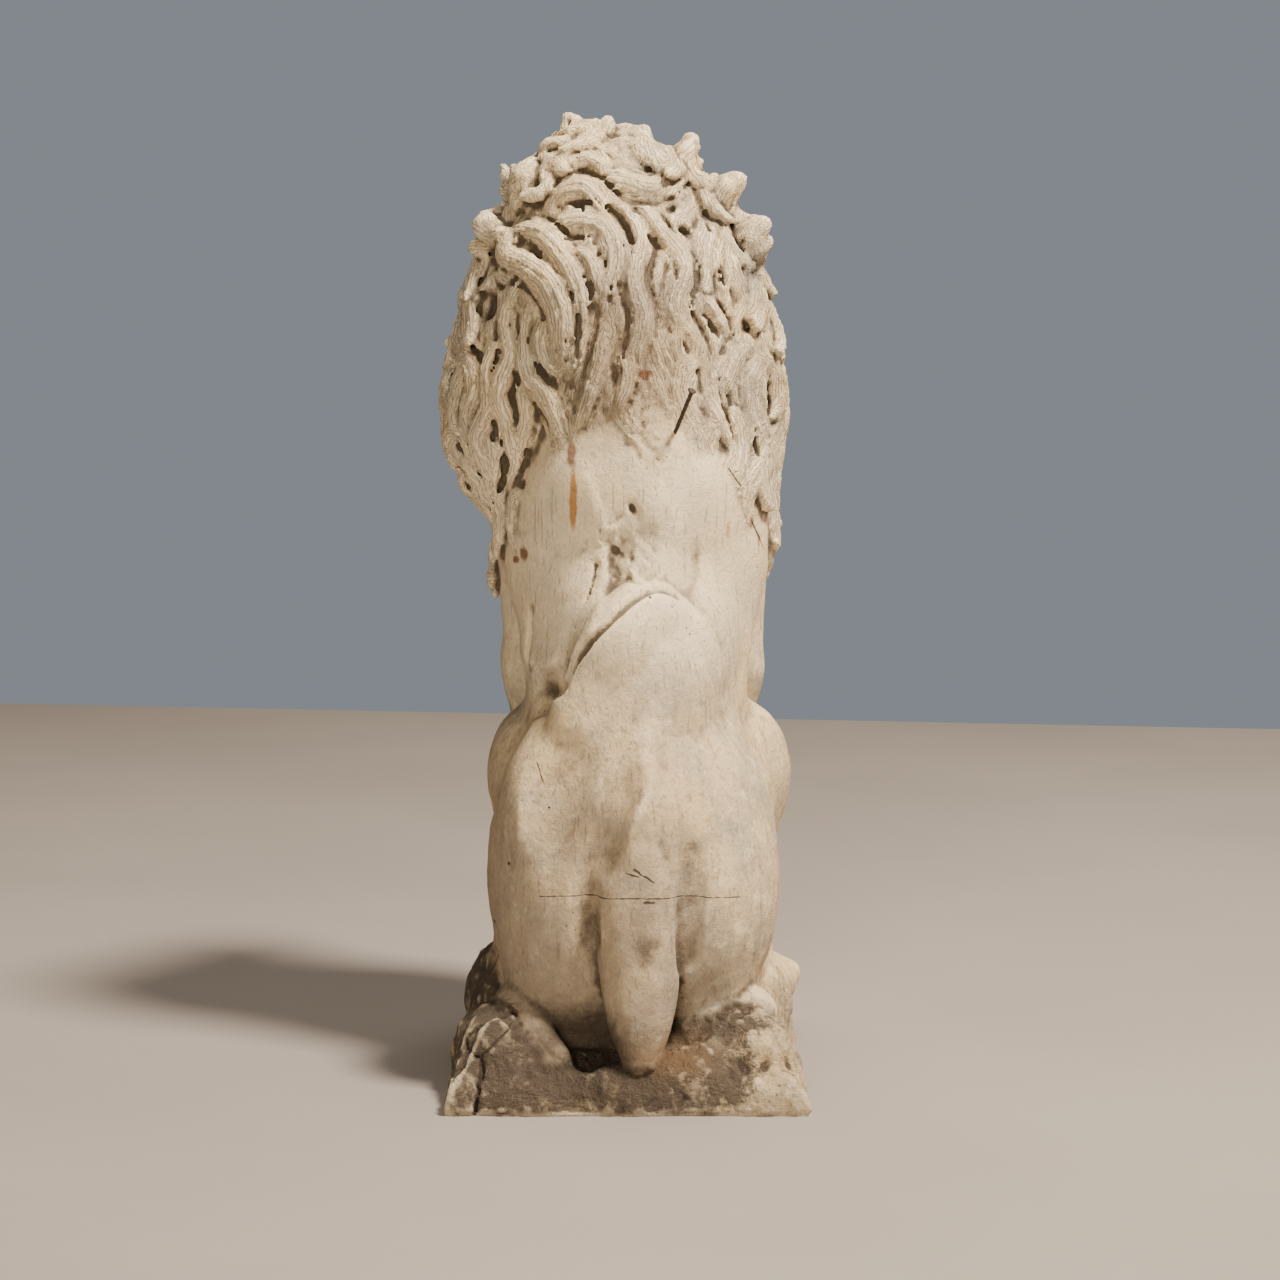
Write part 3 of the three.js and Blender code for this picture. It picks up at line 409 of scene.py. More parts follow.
def add_neck(figure):
    """The thick neck and breast that the mane lies on."""
    egg, limb = figure.egg, figure.limb
    figure.add(limb((-14, 0, 610), (6, -48, 760), 112, 122), 30)
    figure.add(egg((14, -52, 772), (150, 118, 160)), 30)
    figure.add(egg((16, -62, 884), (100, 88, 84)), 30)
    for side in BOTH:
        figure.add(egg((14 + 92 * side, -62, 700), (80, 94, 130), (0, -8 * side, 0)), 26)
    figure.add(egg((4, -146, 590), (104, 70, 160)), 30)


# The head looks a little to its left.
HEAD = (16, -112, 838)
HEAD_TURN = 12


def head_place(x, y, z):
    """A place in the head, turned about the upright line through its middle."""
    turn = math.radians(HEAD_TURN)
    return (
        HEAD[0] + x * math.cos(turn) - y * math.sin(turn),
        HEAD[1] + x * math.sin(turn) + y * math.cos(turn),
        HEAD[2] + z,
    )


def add_face(figure):
    """Skull, bridge, muzzle, jaw, lips, eyes with lids, and ears, each an egg or a limb."""
    egg, limb, place = figure.egg, figure.limb, head_place
    turn = (0, 0, HEAD_TURN)
    figure.add(egg(place(0, 0, 4), (78, 92, 84), turn), 18)
    figure.add(limb(place(0, -50, 32), place(0, -136, 4), 30, 21), 18)
    figure.add(egg(place(0, -104, -18), (42, 56, 34), turn), 16)
    figure.add(egg(place(0, -70, -54), (46, 60, 28), turn), 14)
    figure.add(egg(place(0, -124, -62), (25, 24, 18), turn), 8)
    figure.carve(egg(place(0, -142, -44), (44, 40, 3), turn), 3)
    figure.add(egg(place(0, -158, 4), (23, 12, 14), turn), 6)
    for side in BOTH:
        brow = (0, -16 * side, HEAD_TURN)
        ear = (0, 24 * side, HEAD_TURN)
        figure.add(egg(place(34 * side, -76, 34), (32, 22, 14), brow), 10)
        figure.add(egg(place(54 * side, -40, -18), (34, 46, 42), turn), 16)
        figure.add(egg(place(20 * side, -136, -20), (25, 28, 21), turn), 6)
        figure.carve(egg(place(35 * side, -100, 13), (20, 14, 11), turn), 7)
        figure.add(egg(place(34 * side, -86, 12), (13, 12, 11), turn), 2)
        figure.add(egg(place(80 * side, -2, 70), (24, 15, 30), ear), 8)
        figure.carve(egg(place(82 * side, -18, 72), (13, 12, 19), ear), 4)


def refine_face(figure):
    """Lids, pupils, nostrils, lips and the furrows of the brow, each a thin limb or egg."""
    egg, place = figure.egg, head_place

    def string(work, places, radius, blend):
        """A row of limbs through places in the head."""
        for a, b in zip(places, places[1:]):
            work(figure.limb(place(*a), place(*b), radius), blend)

    figure.add(egg(place(0, -158, -2), (14, 12, 13), (0, 0, HEAD_TURN)), 6)
    figure.add(egg(place(0, -112, 16), (20, 50, 19), (16, 0, HEAD_TURN)), 10)
    for side in BOTH:
        figure.add(egg(place(17 * side, -157, 1), (13, 13, 11), (0, 0, HEAD_TURN)), 6)
        figure.add(egg(place(21 * side, -138, -29), (26, 28, 19), (0, 0, HEAD_TURN + 14 * side)), 5)
        brow = ((10 * side, -108, 28), (26 * side, -100, 38), (46 * side, -88, 39), (62 * side, -66, 30))
        string(figure.add, brow, 7, 15)
        upper = ((19 * side, -102, 10), (27 * side, -103, 20), (39 * side, -99, 21), (51 * side, -86, 12))
        lower = ((19 * side, -102, 8), (29 * side, -101, 2), (41 * side, -96, 2), (51 * side, -86, 10))
        string(figure.add, upper, 4.4, 3)
        string(figure.add, lower, 3.6, 3)
        figure.carve(egg(place(36.5 * side, -99, 11.5), (4.2, 5, 4.5)), 1.5)
        string(figure.carve, ((13 * side, -174, -5), (20 * side, -168, -3), (25 * side, -158, 0)), 3.4, 4)
        middle = ((0, -172, -44), (12 * side, -168, -50), (27 * side, -152, -51))
        corner = ((41 * side, -124, -43), (49 * side, -98, -34))
        string(figure.carve, middle + corner, 3.0, 2)
        string(figure.carve, ((5 * side, -110, 38), (8 * side, -98, 56), (14 * side, -84, 74)), 4, 5)
        string(figure.carve, ((30 * side, -118, -2), (40 * side, -110, -14), (46 * side, -98, -30)), 4, 6)
    string(figure.carve, ((0, -174, -10), (0, -172, -26), (0, -170, -44)), 2.6, 2)
    figure.add(egg(place(0, -128, -68), (27, 22, 18), (0, 0, HEAD_TURN)), 8)


def add_beard(figure, hair):
    """A short tuft of locks that hangs from the chin."""
    t = np.linspace(0, 1, 8)[:, None]
    for n, (across, tip) in enumerate(((-22, -34), (22, 30), (-11, -10), (12, 16), (0, 4))):
        a = figure.at(*head_place(across, -128 + 0.4 * abs(across), -70))
        b = figure.at(*head_place(tip, -112, -124 + 0.6 * abs(across)))
        out = np.array([0.3 * np.sign(across), -1.0, 0.1])
        knots = a + (b - a) * t + np.array([6 * math.sin(2 * n), -9, 0]) * np.sin(np.pi * t)
        wide = figure.unit * 12 * np.sin(np.pi * (0.3 + 0.64 * t[:, 0]))
        lay_lock(figure, hair, knots, np.tile(out, (8, 1)), wide, 0.8 * wide, 3, float(scatter(n)))


# The mane

MANE_AXIS = (14, -58)
FACE_WIDE = 50  # degrees to each side of the face that the mane leaves bare
FACE_TALL = 84  # and parts above and below its middle
LOCK_LENGTH = 120
KNOTS = 13  # along a lock


def mane_edge(turn):
    """Where the mane ends, by degrees round from the back: high on the spine, low in front."""
    r = np.abs(turn)
    back = 672 - 105 * smoothstep(r, 8, 62)
    left = np.where(turn > 0, 18, 0) * smoothstep(r, 20, 60)
    return back - 120 * smoothstep(r, 80, 170) - left


def walk_locks(figure, core, roots, lock):
    """Locks as knots on a walk over the clay. Each heads away from the crown and down, turned
    by a swirl that its neighbours share, by its own sway and by a curl at its tip."""
    unit = figure.unit
    crown = figure.at(HEAD[0], HEAD[1] + 12, 960)
    stride = lock["length"] * unit / (KNOTS - 1)
    place = core.settle(roots)
    points, normals = [], []
    for n in range(KNOTS):
        t = n / (KNOTS - 1)
        normal = core.normal(place)
        lift = lock["lift"] * (0.15 + t * t) + lock["sink"] * (0.5 - 1.3 * t)
        points.append(place + normal * lift[:, None] * unit)
        normals.append(normal)
        away = place - crown
        away = away / np.linalg.norm(away, axis=1, keepdims=True)
        heading = 0.55 * away + np.array([0, 0, -0.8]) + lock["sweep"][:, None] * np.array([0, 1, 0])
        heading = heading - normal * (heading * normal).sum(axis=1, keepdims=True)
        heading = heading / np.linalg.norm(heading, axis=1, keepdims=True)
        x, y, z = place.T / unit
        swirl = 0.45 * np.sin(x / 46 + z / 61 + 1.1 * np.sin(y / 57)) * np.sin(z / 38 - x / 90)
        sway = swirl + lock["sway"] * np.sin(lock["phase"] + 5.6 * t) + lock["curl"] * t**3
        side = np.cross(normal, heading)
        heading = heading * np.cos(sway)[:, None] + side * np.sin(sway)[:, None]
        place = core.settle(place + heading * stride[:, None])
    return np.array(points), np.array(normals)


class Hair:
    """What a material needs to know of the hair: for each grid point how far across its lock
    it lies, in millimetres, and which lock it is, as a tint over 0."""

    def __init__(self, clay):
        self.across = np.zeros(clay.field.shape, np.float16)
        self.tint = np.zeros(clay.field.shape, np.float16)

    def at(self, clay, points):
        """Both values at the grid point nearest to each place."""
        index = np.rint((points - clay.low) / clay.step).astype(int)
        i, j, k = np.clip(index, 0, np.array(self.across.shape) - 1).T
        return self.across[i, j, k], self.tint[i, j, k]


def lay_lock(figure, hair, knots, normals, wide, thick, strands, tint):
    """One lock: a flat oval carried from knot to knot. Flutes with sharp ridges between them
    run along it and drift slowly from side to side."""
    clay = figure.clay
    run = 0.0
    for n in range(len(knots) - 1):
        a, b = knots[n], knots[n + 1]
        along = b - a
        length = np.linalg.norm(along)
        normal = normals[n] + normals[n + 1]
        side = np.cross(along, normal)
        side = side / (np.linalg.norm(side) + 1e-9)
        out = np.cross(side, along) / length
        w0, w1, t0, t1 = wide[n], wide[n + 1], thick[n], thick[n + 1]
        ends = np.array([a, b])
        reach = max(w0, w1)
        window, (x, y, z) = clay.near(ends.min(axis=0) - reach, ends.max(axis=0) + reach, 3 * clay.step)
        dx, dy, dz = x - a[0], y - a[1], z - a[2]
        t = np.clip((dx * along[0] + dy * along[1] + dz * along[2]) / length**2, 0, 1)
        qx, qy, qz = dx - t * along[0], dy - t * along[1], dz - t * along[2]
        w = w0 + (w1 - w0) * t
        h = t0 + (t1 - t0) * t
        rise = qx * out[0] + qy * out[1] + qz * out[2]
        sideways = qx * side[0] + qy * side[1] + qz * side[2]
        gap2 = qx * qx + qy * qy + qz * qz - rise * rise
        across = sideways / w
        far = run + t * length
        wave = np.abs(np.cos(np.pi * strands / 2 * across + 0.8 * np.sin(far / 23 + 6 * tint)))
        h = h - figure.strand_depth * wave * (rise > 0) * np.minimum(1, h / t0)
        distance = (np.sqrt((rise / h) ** 2 + gap2 / (w * w)) - 1) * h
        old = clay.field[window]
        closer = distance < old
        clay.field[window] = soft_min(old, distance, LOCK_BLEND)
        for grid, value in ((hair.across, across * w), (hair.tint, tint + 0.01)):
            grid[window] = np.where(closer, value, grid[window])
        run += length


MANE_ROWS = 8
LOCK_WIDE = 19  # half width
LOCK_THICK = 16  # half thickness
LOCK_BLEND = 2.4  # millimetres over which a lock runs into what is under it
OUTSIDE = 330  # from the mane's middle to well outside it


def plan_mane():
    """Rows of locks from the mane's edge up to the crown, each row over the one below it.
    Returns each lock's turn round the mane, height, elevation and place in its row."""
    plan = []
    number = 0
    for row in range(MANE_ROWS):
        up = row / (MANE_ROWS - 1)
        elevation = math.radians(74 * float(smoothstep(up, 0.62, 1.05)))
        around = round(31 * math.cos(elevation)) + 3
        for n in range(around):
            number += 1
            turn = -180 + 360 * (n + 0.5 * (row % 2) + 0.35 * scatter(number)) / around
            low = float(mane_edge(turn)) + LOCK_LENGTH * 0.75
            level = min(1.0, (up + 0.06 * scatter(number + 0.35)) / 0.8)
            height = low + (888 - low) * level
            from_face = abs(abs(turn - HEAD_TURN) - 180)
            rise = HEAD[2] + 10 - height - 60 * math.sin(elevation)
            bare = math.hypot(from_face / FACE_WIDE, rise / FACE_TALL) < 1
            if bare and elevation < math.radians(50):
                continue
            plan.append((turn, height, elevation, up, number, from_face))
    return np.array(plan)


def add_mane(figure, hair):
    """Lays the planned locks: each swells in its middle and is thinner and sunk in at the back,
    where its neighbours all but close over it."""
    core = figure.core
    turn, height, elevation, up, number, from_face = plan_mane().T
    ray = np.radians(turn)
    centre = figure.at(*MANE_AXIS, 0) + np.outer(height * figure.unit, [0, 0, 1])
    outward = np.stack(
        [np.sin(ray) * np.cos(elevation), np.cos(ray) * np.cos(elevation), np.sin(elevation)], axis=1
    )
    roots = core.meet(centre + outward * OUTSIDE * figure.unit, centre)
    on_back = 1 - smoothstep(np.abs(turn), 35, 80)
    smooth_side = smoothstep(-turn, 5, 30) * (1 - smoothstep(-turn, 70, 100)) * (up < 0.3)
    sign = np.where(np.sin(turn / 17 + height / 47) > 0, 1, -1)
    lock = {
        "length": LOCK_LENGTH * (0.9 + 0.5 * scatter(number + 0.25)) * (1 - 0.35 * up),
        "lift": (6 + 13 * up * scatter(number + 0.15) + 7 * scatter(number + 0.95)) * (1 - on_back),
        "sink": (9 * on_back + 8 * smooth_side) * (1 - 0.6 * up),
        "sweep": np.where(from_face < 110, 0.5, 0.0),
        "sway": 0.5 * sign,
        "phase": 1.2 * scatter(number + 0.6) + height / 60,
        "curl": 1.3 * np.where(scatter(number + 0.5) < 0.5, -1, 1) * (1 - 0.6 * on_back),
    }
    points, normals = walk_locks(figure, core, roots, lock)
    t = np.linspace(0, 1, KNOTS)
    swell = np.sin(np.pi * (0.16 + 0.8 * t)) ** 0.75
    for n in range(len(turn)):
        wide = LOCK_WIDE * (0.7 + 0.55 * scatter(number[n] + 0.75)) * figure.unit
        thick = LOCK_THICK * (1 - 0.35 * on_back[n]) * figure.unit
        strands = 3 + round(2 * scatter(number[n] + 0.9))
        tint = float(scatter(number[n] + 0.45))
        knots = points[:, n] - 0.4 * (thick * swell)[:, None] * normals[:, n]
        lay_lock(figure, hair, knots, normals[:, n], wide * swell, thick * swell, strands, tint)


BEHIND, WITHIN = 290, -80  # places along Y behind the lion and inside it

# The locks that can be told apart at the back: half a width, then places across and up
BACK_LOCKS = (
    (8, (6, 745), (2, 715), (12, 680)),
    (10, (-12, 898), (-28, 868), (-52, 840), (-56, 815)),
    (10, (24, 768), (30, 725), (40, 695), (50, 665)),
    (11, (4, 890), (-12, 860), (-4, 818), (-14, 776), (-6, 735), (-18, 695)),
    (12, (-34, 858), (-54, 830), (-44, 788), (-64, 756), (-76, 724), (-80, 700)),
    (9, (-75, 700), (-90, 668), (-104, 640)),
    (9, (-74, 800), (-88, 778), (-98, 757)),
    (9, (142, 655), (136, 625), (142, 590)),
    (9, (126, 682), (118, 655), (114, 632), (125, 604)),
    (10, (110, 712), (102, 685), (106, 655), (110, 622)),
    (12, (82, 784), (84, 752), (74, 728), (56, 722)),
    (13, (102, 780), (103, 748), (98, 722), (82, 702), (70, 672), (62, 640)),
    (15, (180, 680), (184, 645), (172, 605)),
    (15, (185, 815), (194, 770), (188, 720), (178, 688)),
    (11, (112, 812), (124, 776), (118, 742), (131, 704), (124, 664), (137, 626), (128, 590)),
    (12, (166, 830), (157, 798), (171, 757), (154, 716), (163, 674), (146, 633), (154, 590)),
    (11, (134, 752), (143, 722), (140, 690), (152, 655), (140, 618), (144, 572)),
    (12, (188, 770), (198, 740), (184, 708), (192, 673), (176, 631), (172, 590)),
    (9, (66, 848), (42, 840), (30, 815), (28, 780)),
    (14, (82, 866), (55, 878), (26, 872), (14, 845), (20, 805), (28, 762)),
    (13, (114, 870), (85, 862), (66, 838), (52, 812), (46, 780), (50, 735)),
    (15, (126, 864), (122, 842), (100, 830), (78, 810), (66, 780), (66, 750), (60, 712)),
    (10, (135, 868), (155, 852), (162, 832), (156, 803)),
    (9, (-130, 745), (-132, 700), (-132, 665), (-134, 630)),
    (16, (-148, 728), (-160, 695), (-164, 664), (-156, 630)),
    (13, (-96, 712), (-108, 742), (-128, 752), (-144, 732)),
    (15, (-124, 886), (-152, 852), (-168, 822), (-166, 797), (-170, 757), (-166, 722)),
    (14, (-116, 884), (-132, 856), (-146, 832), (-150, 805), (-144, 778)),
    (15, (-92, 898), (-96, 858), (-102, 828), (-114, 798), (-112, 763)),
    (14, (18, 882), (42, 910), (68, 905), (86, 882)),
    (12, (78, 918), (48, 940), (22, 932)),
    (14, (10, 918), (-22, 912), (-46, 928), (-60, 954)),
    (12, (65, 935), (58, 965), (40, 982)),
    (11, (-62, 940), (-70, 962)),
    (13, (-90, 900), (-104, 918), (-122, 921)),
    (13, (112, 900), (108, 930), (90, 944)),
    (13, (102, 908), (132, 902), (157, 880)),
    (13, (186, 716), (197, 698), (188, 680)),
    (13, (170, 672), (181, 650), (168, 628)),
)

# Notches in the crown's outline between the tufts: middle, then half sizes
NOTCHES = (
    ((-40, -60, 974), (15, 50, 15)),
    ((-80, -42, 948), (9, 40, 18)),
    ((-122, -32, 906), (9, 36, 14)),
    ((100, -36, 934), (8, 36, 13)),
)

# Drilled holes between the locks, all this deep: place across and up, half sizes, and lean in
# degrees
HOLE_DEPTH = 13
HOLES = (
    (136, 829, 11, 19, 20), (146, 795, 5, 6, 0), (92, 835, 6, 5, 20), (64, 806, 4, 10, -12),
    (25, 797, 4, 11, 0), (86, 771, 5, 8, 20), (107, 763, 5, 9, 10), (14, 856, 6, 6, 0),
    (117, 686, 6, 6, 0), (102, 709, 5, 9, -35), (135, 658, 4, 12, -30), (121, 617, 3, 14, 8),
    (60, 718, 3, 8, 10), (39, 704, 3, 7, 15), (165, 732, 3, 12, 0),
    (14, 903, 9, 3, 0), (-35, 897, 6, 7, 0), (-45, 892, 4, 5, 0), (-56, 868, 7, 6, -20),
    (-6, 897, 4, 7, 0), (-129, 860, 3, 6, 0), (100, 920, 8, 5, 0), (-90, 820, 3, 9, 0),
    (-122, 770, 4, 7, 20), (-84, 745, 3, 10, -10), (147, 795, 9, 15, 10), (155, 733, 5, 9, 0),
    (182, 616, 3, 3, 0), (113, 608, 4, 6, 0), (-4, 587, 1.6, 3.4, 24),
)


def add_holes(figure):
    """Each hole is an egg with soft edges round a place on the surface, and the notches are
    eggs too."""
    sunk = on_back(figure, figure.clay, [hole[:2] for hole in HOLES])
    for place, (_, _, wide, tall, lean) in zip(sunk, HOLES):
        x, y, z = place / figure.unit
        z += RIM_PARTS - figure.base_height / figure.unit
        figure.carve(figure.egg((x, y, z), (1.1 * wide, HOLE_DEPTH, 1.1 * tall), (0, lean, 0)), 7)
    for place, halves in NOTCHES:
        figure.carve(figure.egg(place, halves), 9)


def smooth_path(points, count):
    """Evenly spaced places on a smooth curve through the points: a cubic from each point to the
    next, whose slope at a point is half the way between the points on either side of it."""
    p = np.vstack([2 * points[0] - points[1], points, 2 * points[-1] - points[-2]])
    t = np.linspace(0, 1, 17)[:-1, None]
    runs = []
    for a, b, c, d in zip(p, p[1:], p[2:], p[3:]):
        runs.append(
            0.5
            * (2 * b + (c - a) * t + (2 * a - 5 * b + 4 * c - d) * t**2 + (3 * b - a - 3 * c + d) * t**3)
        )
    dense = np.vstack([*runs, points[-1:]])
    far = np.concatenate([[0], np.cumsum(np.linalg.norm(np.diff(dense, axis=0), axis=1))])
    even = np.linspace(0, far[-1], count)
    return np.stack([np.interp(even, far, column) for column in dense.T], axis=1)


def on_back(figure, core, places):
    """Places across and up, put on the lion's back along straight lines from behind."""
    start, target = (np.array([figure.at(x, y, z) for x, z in places]) for y in (BEHIND, WITHIN))
    return core.meet(start, target)


def add_back_locks(figure, hair):
    """Each of these locks has a narrower one along each side, under it, and a furrow along
    each edge. The three draw closer towards the tip, by the square of the way along."""
    core, unit = figure.core, figure.unit
    locks, furrows = [], []
    for n, (half_width, *places) in enumerate(BACK_LOCKS):
        path = on_back(figure, core, places)
        length = np.linalg.norm(np.diff(path, axis=0), axis=1).sum()
        count = max(4, int(round(length / (9 * unit))) + 1)
        path = smooth_path(path, count)
        locks.append((n, half_width, path, core.normal(path)))
    for n, half_width, path, normal in locks:
        along = np.gradient(path, axis=0)
        side = np.cross(along, normal)
        side = side / np.linalg.norm(side, axis=1, keepdims=True)
        closing = 1 - 0.35 * np.linspace(0, 1, len(path))[:, None] ** 2
        for hand in BOTH:
            narrow = half_width * (0.45 + 0.25 * scatter(n + 0.4 * hand))
            away = hand * (half_width + 0.55 * narrow) * unit
            beside = core.settle(path + side * away * closing)
            lay_band(figure, hair, beside, 1.5 * narrow, 15, 1.0, float(scatter(n + 0.1 * hand)))
            away = hand * (1.3 * half_width + 2) * unit
            furrows.append((core.settle(path + side * away * closing), n + 0.3 * hand))
    for n, half_width, path, normal in locks:
        lift = 5 + 5 * float(smoothstep(path[0, 0] / unit, 95, 140))
        lay_band(figure, hair, path, 1.3 * half_width, 20, lift, float(scatter(n + 0.2)))
    for edge, seed in furrows:
        cut_furrow(figure, edge, seed)


def cut_furrow(figure, path, seed):
    """A deep furrow beside a lock, whose depth comes and goes along it."""
    t = np.linspace(0, 1, len(path))
    swell = np.sin(np.pi * (0.08 + 0.84 * t)) * (0.75 + 0.45 * np.sin(7 * t + 9 * scatter(seed)))
    radius = 3.5 * np.maximum(swell, 0.1) * figure.unit
    middle = path + (8 - 4 * swell[:, None]) * figure.unit * figure.core.normal(path)
    for a, b, size in zip(middle, middle[1:], radius):
        figure.clay.carve(tube(a, b, size), 3)


def lay_band(figure, hair, path, half_width, half_thick, lift, tint):
    """A lock on a path over the masses: an oval sunk by half, so that its sides slope. It
    swells in its middle and sinks in at its tip, or stands out as a pointed tuft if it rises."""
    unit = figure.unit
    normal = figure.core.normal(path)
    t = np.linspace(0, 1, len(path))
    tuft = path[-1, 2] > path[0, 2]
    swell = 1 - 0.72 * t if tuft else np.sin(np.pi * (0.12 + 0.8 * t)) ** 0.7
    swell = swell * (1 + 0.1 * np.sin(9 * t + 20 * tint)) * unit
    strands = max(2, round(half_width / 4.2))
    lift = lift * unit * (1 + t if tuft else 1 - t**3)
    knots = path + (lift - 0.5 * half_thick * swell)[:, None] * normal
    lay_lock(figure, hair, knots, normal, half_width * swell, half_thick * swell, strands, tint)


# Tufts that stand up from the crown and beside it: foot, then tip
TUFTS = (
    ((52, -44, 930), (56, -52, 986)),
    ((28, -52, 940), (24, -60, 982)),
    ((4, -56, 940), (4, -62, 978)),
    ((-16, -50, 936), (-20, -54, 966)),
    ((-42, -40, 912), (-62, -36, 958)),
    ((-80, -36, 880), (-112, -28, 924)),
    ((-104, -34, 850), (-140, -24, 878)),
    ((72, -34, 900), (74, -30, 944)),
    ((92, -30, 890), (112, -24, 932)),
    ((116, -20, 850), (150, -12, 880)),
    ((20, -112, 920), (30, -130, 944)),
)


def add_tufts(figure):
    """The masses of the tufts: limbs that taper from 22 to 9."""
    for foot, tip in TUFTS:
        figure.add(figure.limb(foot, tip, 22, 9), 10)


def comb_tufts(figure, hair):
    """Lays three pointed locks over each tuft, which spread towards its tip."""
    t = np.linspace(0, 1, 7)[:, None]
    for n, (foot, tip) in enumerate(TUFTS):
        a, b = figure.at(*foot), figure.at(*tip)
        out = np.array([0.35 * np.sign(a[0]), 0.9, 0.2])
        side = np.cross(b - a, out)
        side = side / np.linalg.norm(side)
        for m in (-1, 1, 0):
            seed = 3 * n + m
            reach = 1.0 + 0.16 * scatter(seed + 0.6) - 0.2 * abs(m)
            bend = side * (14 * m + 16 * scatter(seed + 0.7) - 8)
            apart = side * 9 * m - out * 6 * abs(m)
            knots = a + (b - a) * t * reach + bend * t**1.6 + apart + out * 7 * np.sin(np.pi * t)
            wide = figure.unit * (17 - 9.5 * t[:, 0] ** 2)
            tint = float(scatter(seed + 0.3))
            lay_lock(figure, hair, knots, np.tile(out, (7, 1)), wide, 0.8 * wide, 3, tint)


def part_toes(figure):
    """A claw on each toe, and a furrow between each toe and the next."""
    for n, (x, y, z) in enumerate(figure.claws):
        figure.add(figure.limb((x, y - 8, z + 3), (x, y - 19, z - 7), 6, 3), 2)
        if n % 4:
            low, ahead = (x - 10.5, y - 12, z - 12), min(y, figure.claws[n - 1][1])
            figure.carve(figure.limb((x - 10.5, y + 34, z + 26), (x - 10.5, ahead + 8, z + 12), 3, 5), 5)
            figure.carve(figure.limb((x - 10.5, ahead + 8, z + 12), low, 5), 4)


# Folds and planes of the back: half a width, height over the surface (or depth, negative),
# how softly it runs out, then places across and up
BACK_RELIEF = (
    (24, 4, 24, (62, 600), (64, 540), (68, 490)),
    (22, 4, 20, (-80, 590), (-84, 520), (-86, 450)),
    (10, 3, 8, (-27, 600), (-24, 540), (-20, 470), (-17, 400), (-14, 320), (-12, 240)),
    (16, -8, 16, (34, 458), (48, 438), (60, 418), (76, 400), (92, 390)),
    (14, 3, 14, (-48, 580), (-47, 540), (-46, 505)),
    (22, 4, 18, (-14, 455), (6, 430), (26, 400), (42, 370)),
    (18, 5, 14, (-44, 484), (-16, 486), (6, 468), (22, 446), (38, 420), (52, 394), (60, 372)),
    (5, -6, 4, (-53, 497), (-44, 503), (-27, 507), (-9, 500), (6, 488), (23, 471), (43, 448), (53, 432),
     (67, 405)),
    (9, -8, 6, (39, 452), (51, 437), (60, 421), (68, 407), (79, 395)),
    (4, -3, 3, (26, 570), (29, 541), (35, 510), (42, 486), (48, 468), (60, 448), (74, 438), (88, 427),
     (104, 413)),
    (6, -5, 6, (102, 480), (101, 450), (103, 418)),
    (9, -5, 9, (44, 300), (43, 250), (42, 205), (40, 160)),
    (9, -4, 9, (-64, 262), (-63, 225), (-62, 180), (-60, 140)),
    (14, 1.5, 18, (94, 346), (96, 318), (92, 280)),
    (16, -2.5, 20, (66, 330), (70, 290), (66, 250)),
    (12, -3, 14, (0, 330), (18, 290), (30, 250)),
)


def add_relief(figure):
    """Each fold is a string of round limbs half sunk in the surface, or cut out of it. A limb
    of radius r whose middle lies r - h under the surface rises h above it."""
    unit = figure.unit
    for wide, high, soft, *places in BACK_RELIEF:
        path = smooth_path(on_back(figure, figure.clay, places), 4 * len(places))
        normal = figure.core.normal(path)
        radius = (wide * wide + high * high) / (2 * abs(high))
        sign = 1 if high > 0 else -1
        t = np.linspace(0, 1, len(path))
        fade = np.sin(np.pi * (0.04 + 0.92 * t)) ** 0.6
        middle = path - sign * (radius - abs(high) * fade[:, None]) * unit * normal
        for a, b in zip(middle, middle[1:]):
            work = figure.clay.add if sign > 0 else figure.clay.carve
            work(tube(a, b, radius * unit), soft * unit)


# The crack through the base's left hand corner at the back, in parts of the base's own size
BASE_CRACK = (
    (0.83, 1.0, -0.1), (0.82, 1.0, 0.4), (0.80, 0.985, 0.9), (0.80, 0.9, 1.2),
    (0.79, 0.8, 1.3), (0.705, 0.66, 1.45), (0.655, 0.585, 1.6),
)


def crack_base(figure):
    """The crack follows the surface: a string of thin limbs on it and one under it."""
    size = np.array([figure.base_width / 2, figure.base_length / 2, figure.base_height])
    path = figure.clay.settle(smooth_path(np.array(BASE_CRACK) * size, 24))
    normal = figure.clay.normal(path)
    for depth, radius in ((0, 2.0), (4, 1.9)):
        under = path - depth * normal
        for a, b in zip(under, under[1:]):
            figure.clay.carve(tube(a, b, radius), 1)


# Gouged patches between the shoulders and at the nape: middle and half sizes
COARSE_PATCHES = (((-2, 112, 545), (38, 80, 48)), ((-22, 112, 652), (24, 80, 22)))
BLADE = ((100, 0, 540), (77, 122))  # the left shoulder blade seen from behind: a flat oval
BLADE_RISE = 3.5  # that stands out along its edge
SKIN_DEPTH = 12  # millimetres in and out of the surface, all that roughening changes


